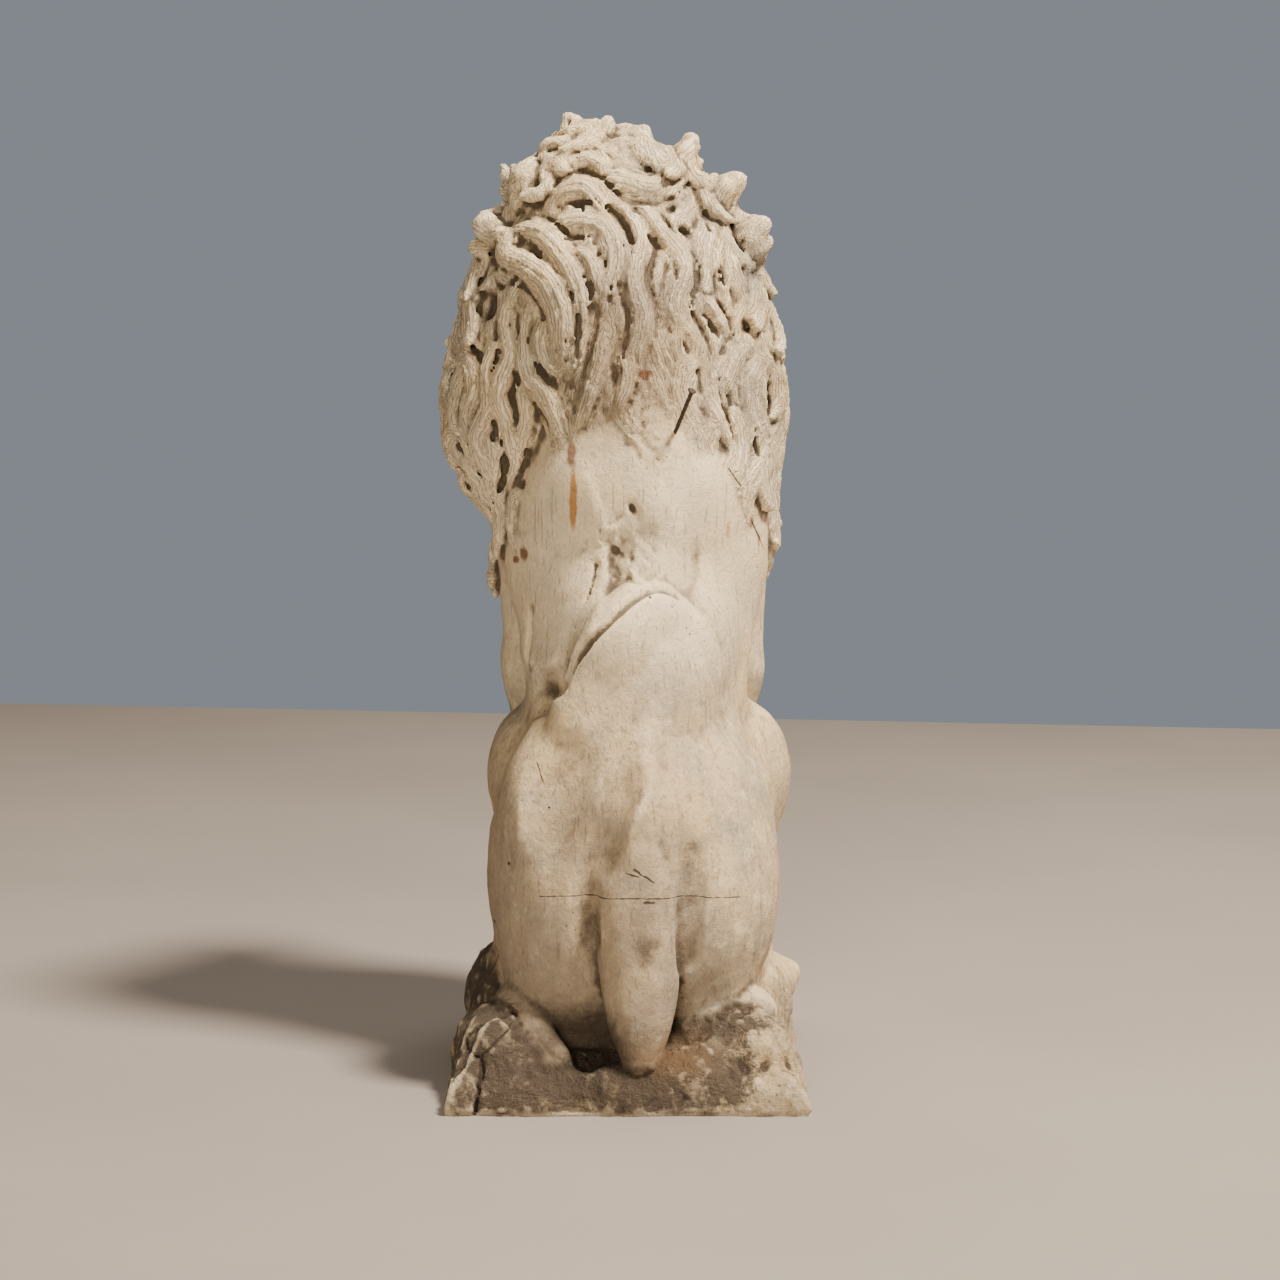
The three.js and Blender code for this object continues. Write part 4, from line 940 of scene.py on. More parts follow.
def roughen(figure, hair):
    """Hand-modelled unevenness everywhere, a worn look on the hair, gouges on a patch of the
    back, and a hewn, broken surface on the rock: waves of several scales, each in its place."""
    clay = figure.clay
    _, (x, y, z) = clay.near(clay.low, clay.low + clay.step * np.array(clay.field.shape), 0)
    band = np.abs(clay.field) < SKIN_DEPTH
    i, j, k = np.nonzero(band)
    px, py, pz = x[i, 0, 0], y[0, j, 0], z[0, 0, k]
    soft = 1.1 * waves(px, py, pz, 60, 3) + 0.7 * waves(px, py, pz, 22, 11)
    places = np.stack([px, py, pz], axis=1)
    rock = smoothstep(clay.field[band] - figure.rock.sample(places), -10, -1)
    hewn = 6 * (np.abs(waves(px, py, pz, 60, 5)) - 0.35) + 3.5 * (np.abs(waves(px, py, pz, 24, 8)) - 0.35)
    hewn = hewn + 2.4 * waves(px, py, pz, 9, 17)
    small, smaller = waves(px, py, pz, 13, 23), waves(px, py, pz, 7, 29)
    worn = (hair.tint[band] > 0) * (1.0 * small + 0.6 * smaller)
    ragged = 0.25 * waves(px, py, pz, 30, 31)
    gouged = 0.0
    for middle, halves in COARSE_PATCHES:
        away = (places - figure.at(*middle)) / (np.array(halves) * figure.unit)
        away = np.linalg.norm(away, axis=1) + ragged
        gouged = gouged + (1 - smoothstep(away, 0.75, 1.1)) * (2.6 * small + 2 * smaller)
    middle, (wide, tall) = figure.at(*BLADE[0]), np.array(BLADE[1]) * figure.unit
    away = np.hypot((px - middle[0]) / wide, (pz - middle[2]) / tall)
    blade = (py > 0) * smoothstep(away, 0.2, 0.95) * (1 - smoothstep(away, 0.96, 1.1))
    blade = -BLADE_RISE * blade * smoothstep(middle[0] - px + 0.4 * (middle[2] - pz), 0, 50)
    change = (soft + worn + gouged + blade) * (1 - rock) + hewn * rock * (pz > 4)
    clay.field[band] += change.astype(np.float32)


# From clay to mesh


JUST_INSIDE = -0.05


def mend_contacts(field):
    """Fills the places where two parts of the clay touch only along an edge, so that the skin
    is simple there: where of four neighbours just two opposite ones are clay, a third is too."""

    def corner(m, i, j):
        """The grid moved by i and j steps along the two axes other than m."""
        moves = [slice(i, None if i else -1), slice(j, None if j else -1)]
        moves.insert(m, slice(None))
        return tuple(moves)

    for _ in range(4):
        inside = field < 0
        changed = 0
        for m in range(3):
            s00, s10, s01, s11 = (inside[corner(m, i, j)] for i, j in ((0, 0), (1, 0), (0, 1), (1, 1)))
            first = s00 & s11 & ~s10 & ~s01
            second = s10 & s01 & ~s00 & ~s11
            changed += int(first.sum() + second.sum())
            field[corner(m, 1, 0)][first] = JUST_INSIDE
            field[corner(m, 0, 0)][second] = JUST_INSIDE
        if changed == 0:
            break


def draw_skin(clay):
    """Surface nets: in each cell that the surface passes through lies one point, the middle
    of the places where it crosses the cell's edges, and each grid edge that it crosses gets
    one face between the four cells round it. Returns points in millimetres, and quads."""
    field = clay.field
    inside = field < 0
    shape = np.array(field.shape) - 1
    ends = (slice(0, -1), slice(1, None))
    total = np.zeros(shape, np.uint8)
    for corner in range(8):
        total += inside[ends[corner & 1], ends[corner >> 1 & 1], ends[corner >> 2]]
    cells = np.nonzero((total > 0) & (total < 8))
    number = np.full(shape, -1, np.int32)
    number[cells] = np.arange(len(cells[0]))
    value = [
        field[cells[0] + (c & 1), cells[1] + (c >> 1 & 1), cells[2] + (c >> 2)] for c in range(8)
    ]
    place = np.zeros((len(cells[0]), 3))
    crossings = np.zeros(len(cells[0]))
    for a in range(8):
        for m in range(3):
            b = a | 1 << m
            if b == a:
                continue
            cut = (value[a] < 0) != (value[b] < 0)
            t = np.where(cut, value[a] / np.where(cut, value[a] - value[b], 1), 0)
            spot = np.array([a & 1, a >> 1 & 1, a >> 2], float)[None] + np.outer(t, np.eye(3)[m])
            place += spot * cut[:, None]
            crossings += cut
    points = (np.stack(cells, axis=1) + place / crossings[:, None]) * clay.step + clay.low
    quads = []
    for m in range(3):
        a, b = (m + 1) % 3, (m + 2) % 3
        low = [slice(1, -1)] * 3
        low[m] = slice(0, -1)
        high = list(low)
        high[m] = slice(1, None)
        here, there = inside[tuple(low)], inside[tuple(high)]
        for flip in (False, True):
            edge = np.stack(np.nonzero((here & ~there) if not flip else (~here & there)), axis=1)
            edge[:, a] += 1
            edge[:, b] += 1
            ring = []
            for da, db in ((0, 0), (1, 0), (1, 1), (0, 1)):
                cell = edge.copy()
                cell[:, a] -= 1 - da
                cell[:, b] -= 1 - db
                ring.append(number[cell[:, 0], cell[:, 1], cell[:, 2]])
            quads.append(np.stack(ring[::-1] if flip else ring, axis=1))
    return points, np.concatenate(quads)


def blurred(field, radius):
    """A running mean over a cube, done twice along each axis."""
    for axis in (0, 1, 2, 0, 1, 2):
        width = 2 * radius + 1
        padding = [(0, 0)] * 3
        padding[axis] = (radius + 1, radius)
        total = np.cumsum(np.pad(field, padding, mode="edge"), axis=axis, dtype=np.float32)
        length = total.shape[axis]
        field = np.take(total, range(width, length), axis) - np.take(total, range(length - width), axis)
        field = field / width
    return field


HOLLOWS = (5, 16)  # millimetres round a place that are searched for a crease and for a bowl


def measure_hollows(clay, points, radii):
    """How deep each place lies in a hollow: the share of clay round it, less a half."""
    filled = np.clip(0.5 - clay.field / clay.step, 0, 1).astype(np.float32)
    return [clay.sample(points, blurred(filled, radius)) - 0.5 for radius in radii]


def mesh_object(name, points, faces, smooth=True):
    """A new object in the scene, its mesh filled from whole arrays of points and faces."""
    mesh = bpy.data.meshes.new(name)
    sides = faces.shape[1]
    mesh.vertices.add(len(points))
    mesh.vertices.foreach_set("co", np.asarray(points, np.float32).ravel())
    mesh.loops.add(faces.size)
    mesh.loops.foreach_set("vertex_index", faces.astype(np.int32).ravel())
    mesh.polygons.add(len(faces))
    mesh.polygons.foreach_set("loop_start", np.arange(len(faces), dtype=np.int32) * sides)
    mesh.polygons.foreach_set("use_smooth", np.full(len(faces), smooth))
    mesh.update(calc_edges=True)
    mesh.validate()
    piece = bpy.data.objects.new(name, mesh)
    bpy.context.scene.collection.objects.link(piece)
    return piece


def thin_out(piece, triangles):
    """Thins the piece's mesh to a number of triangles and leaves it a plain mesh again."""
    count = sum(len(p.vertices) - 2 for p in piece.data.polygons)
    thin = piece.modifiers.new("thin", "DECIMATE")
    thin.ratio = min(1.0, triangles / count)
    graph = bpy.context.evaluated_depsgraph_get()
    mesh = bpy.data.meshes.new_from_object(piece.evaluated_get(graph))
    piece.modifiers.clear()
    old = piece.data
    piece.data = mesh
    mesh.name = piece.name
    bpy.data.meshes.remove(old)


def mesh_points(mesh):
    """The places of the mesh's points, as one array."""
    points = np.empty(len(mesh.vertices) * 3, np.float32)
    mesh.vertices.foreach_get("co", points)
    return points.reshape(-1, 3)


def store(mesh, name, values):
    """Gives the mesh an attribute of one number for each of its points."""
    layer = mesh.attributes.new(name, "FLOAT", "POINT")
    layer.data.foreach_set("value", np.ascontiguousarray(values, np.float32))


def model_lion(sizes):
    """Clay first on a coarse grid for the masses, then on a fine one for hair and folds."""
    step = sizes.grid_step / MM * 1
    figure = Figure(sizes, 2 * step)
    add_base(figure)
    figure.rock = figure.clay.copy()
    add_haunches(figure)
    add_trunk(figure)
    add_forelegs(figure)
    add_tail(figure)
    add_neck(figure)
    add_tufts(figure)
    coarse = figure.clay
    figure.clay = coarse.refined()
    figure.core = coarse
    add_relief(figure)
    part_toes(figure)
    hair = Hair(figure.clay)
    comb_tufts(figure, hair)
    add_mane(figure, hair)
    add_holes(figure)
    add_back_locks(figure, hair)
    before = figure.clay.field.copy()
    add_face(figure)
    refine_face(figure)
    hair.tint[np.abs(figure.clay.field - before) > figure.clay.step] = 0
    add_beard(figure, hair)
    roughen(figure, hair)
    crack_base(figure)
    clay = figure.clay
    floor = int(round(-clay.low[2] / clay.step))
    clay.field[:, :, :floor] = np.maximum(clay.field[:, :, :floor], clay.step / 2)
    mend_contacts(clay.field)
    points, quads = draw_skin(clay)
    points[points[:, 2] < 0.4 * clay.step, 2] = 0
    lion = mesh_object("plaster_lion", points * MM, quads)
    thin_out(lion, sizes.triangles)
    places = mesh_points(lion.data) / MM
    small, large = measure_hollows(clay, places, [int(round(r / clay.step)) for r in HOLLOWS])
    store(lion.data, "crease", small)
    store(lion.data, "bowl", large)
    store(lion.data, "stone", smoothstep(-figure.rock.sample(places), -9, -3))
    across, tint = hair.at(clay, places)
    store(lion.data, "across", across)
    store(lion.data, "tint", tint)
    return lion


# The nail

NAIL_AXIS = (-0.304, 0.558, 0.771)


def model_nail(sizes):
    """A forged nail under a crust of rust: rings along its axis, from the point to the head.
    The crust is a sum of waves over each ring, and the shank bends a little to one side."""
    lowest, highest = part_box("nape_nail")
    point = np.array([highest.x, lowest.y, lowest.z])
    axis = np.array(NAIL_AXIS) / np.linalg.norm(NAIL_AXIS)
    side = np.cross(axis, [1.0, 0, 0])
    side = side / np.linalg.norm(side)
    other = np.cross(axis, side)
    length, shank, head = sizes.length, sizes.diameter / 2, sizes.head_diameter / 2
    neck = length - sizes.head_thickness
    along = np.concatenate([[0.0], np.linspace(0.08, 1, 44) * neck])
    radius = shank * np.minimum(1, 0.08 + along / (2.2 * sizes.diameter)) * (1 + 0.1 * along / length)
    rim = np.array([neck, neck + 0.25 * sizes.head_thickness, length - 0.25 * sizes.head_thickness, length])
    along = np.concatenate([along, rim, [length]])
    radius = np.concatenate([radius, head * np.array([0.9, 1.0, 0.97, 0.72]), [0.02 * head]])
    turns = 28
    angle = np.linspace(0, 2 * np.pi, turns, endpoint=False)[None, :]
    s = along[:, None] / MM
    crust = 0.09 * np.sin(3 * angle + s / 2.1) + 0.07 * np.sin(5 * angle - s / 1.3 + 1)
    crust = crust + 0.06 * np.sin(2 * angle + s / 0.9 + 2)
    ring = radius[:, None] * (1 + crust)
    bend = sizes.bend * (along[:, None] / length) ** 2 * (1 - along[:, None] / length) * 4
    places = (
        point
        + along[:, None, None] * axis
        + (ring * np.cos(angle) + bend)[..., None] * side
        + (ring * np.sin(angle))[..., None] * other
    )
    rings = len(along)
    n = np.arange((rings - 1) * turns)
    after = n - n % turns + (n + 1) % turns
    walls = np.stack([n, after, after + turns, n + turns], axis=1)
    nail = mesh_object("rusty_nail", places.reshape(-1, 3), walls)
    mesh = nail.data
    close = bmesh.new()
    close.from_mesh(mesh)
    bmesh.ops.holes_fill(close, edges=close.edges, sides=turns)
    bmesh.ops.recalc_face_normals(close, faces=close.faces)
    close.to_mesh(mesh)
    close.free()
    mesh.polygons.foreach_set("use_smooth", np.ones(len(mesh.polygons), bool))
    return nail


# Materials


class Graph:
    """Short words for building a tree of shader nodes."""

    def __init__(self, tree):
        self.tree = tree
        tree.nodes.clear()

    def put(self, kind, values=None, **settings):
        """Adds a node, sets it up, and fills its inputs with values or with other outputs."""
        node = self.tree.nodes.new(kind)
        for name, value in settings.items():
            setattr(node, name, value)
        for key, value in (values or {}).items():
            if isinstance(value, bpy.types.NodeSocket):
                self.tree.links.new(value, node.inputs[key])
            else:
                node.inputs[key].default_value = value
        return node

    def use(self, group, values):
        return self.put("ShaderNodeGroup", values, node_tree=group)

    def math(self, operation, a, b=0.0, c=0.0, clamp=False):
        node = self.put("ShaderNodeMath", {0: a, 1: b, 2: c}, operation=operation, use_clamp=clamp)
        return node.outputs[0]

    def vector(self, operation, a, b=(0, 0, 0)):
        return self.put("ShaderNodeVectorMath", {0: a, 1: b}, operation=operation)

    def scaled(self, a, factor):
        return self.put("ShaderNodeVectorMath", {0: a, "Scale": factor}, operation="SCALE").outputs[0]

    def ramp(self, value, low, high, to_low=0.0, to_high=1.0):
        """A smooth rise from one value to another between two limits."""
        limits = {"Value": value, "From Min": low, "From Max": high, "To Min": to_low, "To Max": to_high}
        return self.put("ShaderNodeMapRange", limits, interpolation_type="SMOOTHSTEP").outputs[0]

    def mix(self, factor, a, b):
        return self.put("ShaderNodeMix", {0: factor, 6: a, 7: b}, data_type="RGBA").outputs[2]

    def noise(self, place, scale, detail=4.0, rough=0.55, distortion=0.0, output=0):
        values = {"Vector": place, "Scale": scale, "Detail": detail, "Roughness": rough}
        return self.put("ShaderNodeTexNoise", {**values, "Distortion": distortion}).outputs[output]


def new_group(name, inputs, outputs):
    """An empty node group with named inputs and outputs; returns its graph and its ends."""
    group = bpy.data.node_groups.new(name, "ShaderNodeTree")
    for label, kind, default in inputs:
        socket = group.interface.new_socket(label, in_out="INPUT", socket_type="NodeSocket" + kind)
        socket.default_value = default
    for label, kind in outputs:
        group.interface.new_socket(label, in_out="OUTPUT", socket_type="NodeSocket" + kind)
    graph = Graph(group)
    start = group.nodes.new("NodeGroupInput").outputs
    end = group.nodes.new("NodeGroupOutput").inputs
    return group, graph, start, end


def patch_group():
    """A stain: 1 inside an egg round a place, fading over its edge, which noise makes ragged."""
    inputs = (
        ("Place", "Vector", (0, 0, 0)),
        ("Centre", "Vector", (0, 0, 0)),
        ("Size", "Vector", (0.01, 0.01, 0.01)),
        ("Fade", "Float", 0.5),
        ("Ragged", "Float", 0.004),
        ("Grain", "Float", 90.0),
    )
    group, graph, start, end = new_group("Patch", inputs, (("Mask", "Float"),))
    cloud = graph.noise(start["Place"], start["Grain"], 4.0, 0.6, output=1)
    shift = graph.scaled(graph.vector("SUBTRACT", cloud, (0.5, 0.5, 0.5)).outputs[0], start["Ragged"])
    place = graph.vector("ADD", start["Place"], shift).outputs[0]
    gap = graph.vector("SUBTRACT", place, start["Centre"]).outputs[0]
    near = graph.vector("LENGTH", graph.vector("DIVIDE", gap, start["Size"]).outputs[0]).outputs["Value"]
    inner = graph.math("SUBTRACT", 1.0, start["Fade"])
    outer = graph.math("ADD", 1.0, start["Fade"])
    graph.tree.links.new(graph.ramp(near, inner, outer, 1.0, 0.0), end["Mask"])
    return group


def crack_group():
    """A crack: 1 on the straight line between two places, 0 away from it, with the line
    bent by noise across and up, and its width changing along it."""
    inputs = (
        ("Place", "Vector", (0, 0, 0)),
        ("Start", "Vector", (0, 0, 0)),
        ("End", "Vector", (0, 0, 0.1)),
        ("Width", "Float", 0.0008),
        ("Wander", "Float", 0.004),
    )
    group, graph, start, end = new_group("Crack", inputs, (("Mask", "Float"),))
    cloud = graph.noise(start["Place"], 70.0, 3.0, 0.6, output=1)
    shift = graph.scaled(graph.vector("SUBTRACT", cloud, (0.5, 0.5, 0.5)).outputs[0], start["Wander"])
    level = graph.vector("MULTIPLY", shift, (1, 0, 1)).outputs[0]
    place = graph.vector("ADD", start["Place"], level).outputs[0]
    gap = graph.vector("SUBTRACT", place, start["Start"]).outputs[0]
    along = graph.vector("SUBTRACT", start["End"], start["Start"]).outputs[0]
    share = graph.math(
        "DIVIDE",
        graph.vector("DOT_PRODUCT", gap, along).outputs["Value"],
        graph.vector("DOT_PRODUCT", along, along).outputs["Value"],
        clamp=True,
    )
    foot = graph.scaled(along, share)
    away = graph.vector("DISTANCE", gap, foot).outputs["Value"]
    uneven = graph.ramp(graph.noise(place, 120.0, 2.0), 0.3, 0.7, 0.4, 1.6)
    width = graph.math("MULTIPLY", start["Width"], uneven)
    outer = graph.math("MULTIPLY", width, 2.0)
    graph.tree.links.new(graph.ramp(away, graph.math("MULTIPLY", width, 0.5), outer, 1.0, 0.0), end["Mask"])
    return group


def grime_and_shade_group():
    """Darkening in narrow hollows that is partly grime and partly painted shade, painted shade in broad
    hollows, and paling of what stands out that is partly worn and partly a painted highlight, all
    broken up by noise. Crease and Bowl say how deep a place lies among what is close and what is further."""
    inputs = (
        ("Place", "Vector", (0, 0, 0)),
        ("Crease", "Float", 0.0),
        ("Bowl", "Float", 0.0),
    )
    outputs = (("Dirt and shade", "Float"), ("Shade", "Float"), ("Wear and highlight", "Float"))
    group, graph, start, end = new_group("Grime and shade", inputs, outputs)
    broken = graph.noise(start["Place"], 55.0, 6.0, 0.65)
    nudge = graph.math("MULTIPLY_ADD", broken, 0.22, -0.11)
    crease = graph.math("ADD", start["Crease"], nudge)
    links = graph.tree.links
    # narrow hollows: partly grime, partly painted shade
    links.new(graph.ramp(crease, 0.0, 0.13), end["Dirt and shade"])
    # broad hollows: painted shade
    links.new(graph.ramp(graph.math("MULTIPLY_ADD", nudge, 0.6, start["Bowl"]), 0.0, 0.28), end["Shade"])
    # what stands out: partly worn, partly a painted highlight
    links.new(graph.ramp(crease, -0.05, -0.16), end["Wear and highlight"])
    return group


def new_material(name):
    """A material with a Principled shader, whose inputs its graph will feed."""
    material = bpy.data.materials.new(name)
    material.use_nodes = True
    graph = Graph(material.node_tree)
    shader = graph.put("ShaderNodeBsdfPrincipled")
    output = graph.put("ShaderNodeOutputMaterial")
    graph.tree.links.new(shader.outputs[0], output.inputs["Surface"])
    return material, graph, shader


def in_metres(millimetres):
    return [length * MM for length in millimetres]


def attribute(graph, name):
    return graph.put("ShaderNodeAttribute", attribute_name=name).outputs["Fac"]


# Stains that can be told apart, and dark patches between the left heel and the tail and on the base
# that are partly painted shade: centre and half sizes in millimetres, how far the edge fades, how
# ragged it is, how strong, and its colour
STAINS = (
    ((6, 110, 752), (66, 70, 90), 0.8, 34, 0.75, "dirt_and_shade"),
    ((-132, 10, 818), (16, 50, 34), 0.6, 16, 0.5, "slate"),
    ((-18, 104, 721), (9, 30, 7), 0.4, 19, 0.9, "rust"),
    ((58, 82, 640), (5, 30, 14), 0.3, 7, 0.8, "rust"),
    ((56, 84, 594), (5, 30, 36), 0.15, 5, 1.0, "orange"),
    ((109, 42, 535), (4, 30, 8), 0.4, 8, 0.85, "rust"),
    ((118, 28, 528), (4, 30, 4), 0.4, 5, 0.85, "rust"),
    ((-103, 64, 563), (2.5, 30, 11), 0.5, 6, 0.7, "pink"),
    ((-129, 60, 568), (2, 30, 8), 0.5, 6, 0.8, "pink"),
    ((-137, 48, 548), (2, 30, 12), 0.5, 6, 0.8, "rust"),
    ((-18, 272, 163), (11, 60, 14), 0.8, 28, 0.8, "brown"),
    ((-14, 260, 200), (12, 60, 28), 0.8, 20, 0.4, "brown"),
    # a dark patch between the left heel and the tail: partly grime, partly painted shade in the hollow
    ((30, 240, 60), (62, 80, 36), 0.6, 40, 0.9, "deep"),
    # these two darken the base's face towards the camera and its top on the left: partly earth, partly
    # painted shade
    ((20, 285, 34), (90, 40, 30), 0.7, 60, 0.4, "brown"),
    ((110, 150, 60), (70, 200, 46), 0.7, 50, 0.35, "brown"),
    ((-50, 272, 56), (32, 60, 18), 0.8, 24, 0.2, "orange"),
)
# Cracks seen from behind: start and end across and up in millimetres, half a width, how far
# the line wanders
CRACKS = (
    ((88, 206), (-12, 212), 0.3, 3),
    ((-12, 212), (-112, 205), 0.3, 3),
    ((-6, 240), (-25, 227), 0.6, 4),
    ((3, 236), (-12, 232), 0.5, 3),
    ((-15, 208), (-25, 207), 0.8, 3),
    ((92, 335), (84, 314), 0.3, 4),
    ((150, -2), (146, 30), 1.3, 3),
    ((146, 30), (144, 54), 1.1, 3),
    ((144, 54), (128, 69), 0.9, 3),
    ((128, 69), (117, 77), 0.7, 3),
    ((-103, 625), (-116, 607), 0.6, 3),
    ((-128, 570), (-146, 530), 0.5, 3),
)
# Pinholes that can be told apart: across and up in millimetres, radius
PINHOLES = ((79, 292, 1.6), (120, 233, 1.8), (136, 168, 1.8), (-22, 500, 1.6))


def lay_plaster(graph, look, place, tint):
    """Cream, with paler and greyer clouds, washed-down streaks and specks of both. Returns the
    colour, and the noises that other layers use again."""
    mix, math_, ramp, noise = graph.mix, graph.math, graph.ramp, graph.noise
    clouds = noise(place, 7.0, 5.0, 0.6, 0.4)
    spots = noise(place, 34.0, 6.0, 0.65)
    mottle = noise(place, 120.0, 5.0, 0.7)
    drawn = graph.put("ShaderNodeMapping", {"Vector": place, "Scale": (1.0, 1.0, 0.16)}).outputs[0]
    streaks = noise(drawn, 75.0, 5.0, 0.6)
    colour = mix(ramp(clouds, 0.36, 0.64), look.plaster, look.grey)
    colour = mix(ramp(spots, 0.5, 0.72, 0.0, 0.6), colour, look.pale)
    colour = mix(ramp(streaks, 0.5, 0.7, 0.0, 0.4), colour, look.dirt_and_shade)
    colour = mix(ramp(mottle, 0.5, 0.68, 0.0, look.mottle), colour, look.dirt_and_shade)
    colour = mix(ramp(mottle, 0.46, 0.3, 0.0, look.mottle), colour, look.pale)
    pepper = ramp(noise(place, 430.0, 3.0, 0.7), 0.6, 0.7)
    salt = ramp(noise(place, 300.0, 3.0, 0.6), 0.6, 0.68)
    colour = mix(math_("MULTIPLY", pepper, look.mottle), colour, look.dirt_and_shade)
    colour = mix(math_("MULTIPLY", salt, look.mottle), colour, look.pale)
    return mix(ramp(tint, 0.0, 1.0, 0.0, 0.22), colour, look.pale), spots, mottle, salt


def lay_grime_shade_and_light(graph, look, place, colour, noises, stone, tint):
    """Darkening from the foot up that is partly dust and partly painted shade, painted light on the
    upper back, earth on the rock that is partly painted shade, then painted shade in broad hollows,
    grime and painted shade in narrow ones, and paling of what stands out, partly worn and partly a
    painted highlight."""
    put, mix, math_, ramp = graph.put, graph.mix, graph.math, graph.ramp
    spots, mottle = noises
    across_base, _, above = put("ShaderNodeSeparateXYZ", {0: place}).outputs

    # darker towards the bottom: partly dust, partly painted shade where the light falls off lower down;
    # less of it, and less earth, on the right side, which the key light lights
    dust_and_shade = math_("MULTIPLY", ramp(above, 0.5, 0.14), ramp(spots, 0.3, 0.62, 0.5, 1.0))
    dust_and_shade = math_("MULTIPLY", dust_and_shade, ramp(across_base, -0.13, -0.02, 0.1, 1.0))
    colour = mix(math_("MULTIPLY", dust_and_shade, look.dust_and_shade), colour, look.dirt_and_shade)
    # painted light: a paler band across the upper back, as if the light fell stronger there
    upper_back_light = math_("MULTIPLY", ramp(above, 0.36, 0.5), ramp(above, 0.7, 0.62))
    colour = mix(math_("MULTIPLY", upper_back_light, look.upper_back_light), colour, look.pale)
    # earth on the rock, partly earth and partly painted shade on the base's face towards the camera and its
    # top; more on faces that look up
    up = put("ShaderNodeSeparateXYZ", {0: put("ShaderNodeNewGeometry").outputs["Normal"]}).outputs[2]
    earth_and_shade_cover = math_("ADD", mottle, math_("MULTIPLY", up, 0.25))
    earth_and_shade_cover = math_("MULTIPLY_ADD", spots, 1.5, earth_and_shade_cover)
    earth_and_shade_cover = math_("ADD", earth_and_shade_cover, ramp(across_base, -0.18, -0.08, -0.6, 0.0))
    soil_and_shade = math_("MULTIPLY", stone, ramp(earth_and_shade_cover, 0.98, 1.3))
    colour = mix(math_("MULTIPLY", soil_and_shade, look.soil_and_shade), colour, look.brown)

    # painted shade in broad hollows, weaker on the smooth skin than in the hair and on the rock
    hollows = {"Place": place, "Crease": attribute(graph, "crease"), "Bowl": attribute(graph, "bowl")}
    worn = graph.use(grime_and_shade_group(), hollows).outputs
    kept = math_("MAXIMUM", ramp(tint, 0.001, 0.01, 0.4, 1.0), stone)
    shade = math_("MULTIPLY", worn["Shade"], math_("MULTIPLY", kept, look.shade))
    colour = mix(shade, colour, look.dirt_and_shade)
    # narrow hollows darkened: partly grime, partly painted shade
    colour = mix(math_("MULTIPLY", worn["Dirt and shade"], look.crease_dirt_and_shade), colour, look.deep)
    # what stands out paled: partly wear, partly a painted highlight
    return mix(math_("MULTIPLY", worn["Wear and highlight"], look.wear_and_highlight), colour, look.pale)


def lay_stains(graph, look, place, colour):
    """Each stain in STAINS over the colour so far, a few of them partly painted shade."""
    patch = patch_group()
    for centre, size, fade, ragged, strength, name in STAINS:
        values = {"Place": place, "Centre": in_metres(centre), "Size": in_metres(size)}
        stain = graph.use(patch, {**values, "Fade": fade, "Ragged": ragged * MM}).outputs[0]
        colour = graph.mix(graph.math("MULTIPLY", stain, strength), colour, getattr(look, name))
    return colour


def cracks_and_pinholes(graph, place, mottle):
    """How deep the known cracks and pinholes go at each place: 1 in the middle of one. They
    are seen from behind, so their places are flat and only the back of the cast has them."""
    put, math_, ramp = graph.put, graph.math, graph.ramp
    crack = crack_group()
    depth = 0.0
    flat = put("ShaderNodeMapping", {"Vector": place, "Scale": (1.0, 0.0, 1.0)}).outputs[0]
    behind = ramp(put("ShaderNodeSeparateXYZ", {0: place}).outputs[1], 0.0, 0.03)
    for x, z, radius in PINHOLES:
        hole = graph.vector("DISTANCE", flat, in_metres((x, 0, z))).outputs["Value"]
        ragged = math_("MULTIPLY_ADD", mottle, 2.4 * MM, math_("SUBTRACT", hole, 1.2 * MM))
        depth = math_("MAXIMUM", depth, ramp(ragged, radius * MM, 0.5 * radius * MM, 0.0, 1.0))
    for (ax, az), (bx, bz), width, wander in CRACKS:
        values = {"Place": flat, "Start": in_metres((ax, 0, az)), "End": in_metres((bx, 0, bz))}
        line = graph.use(crack, {**values, "Width": width * MM, "Wander": wander * MM})
        depth = math_("MAXIMUM", depth, line.outputs[0])
    return math_("MULTIPLY", depth, behind)


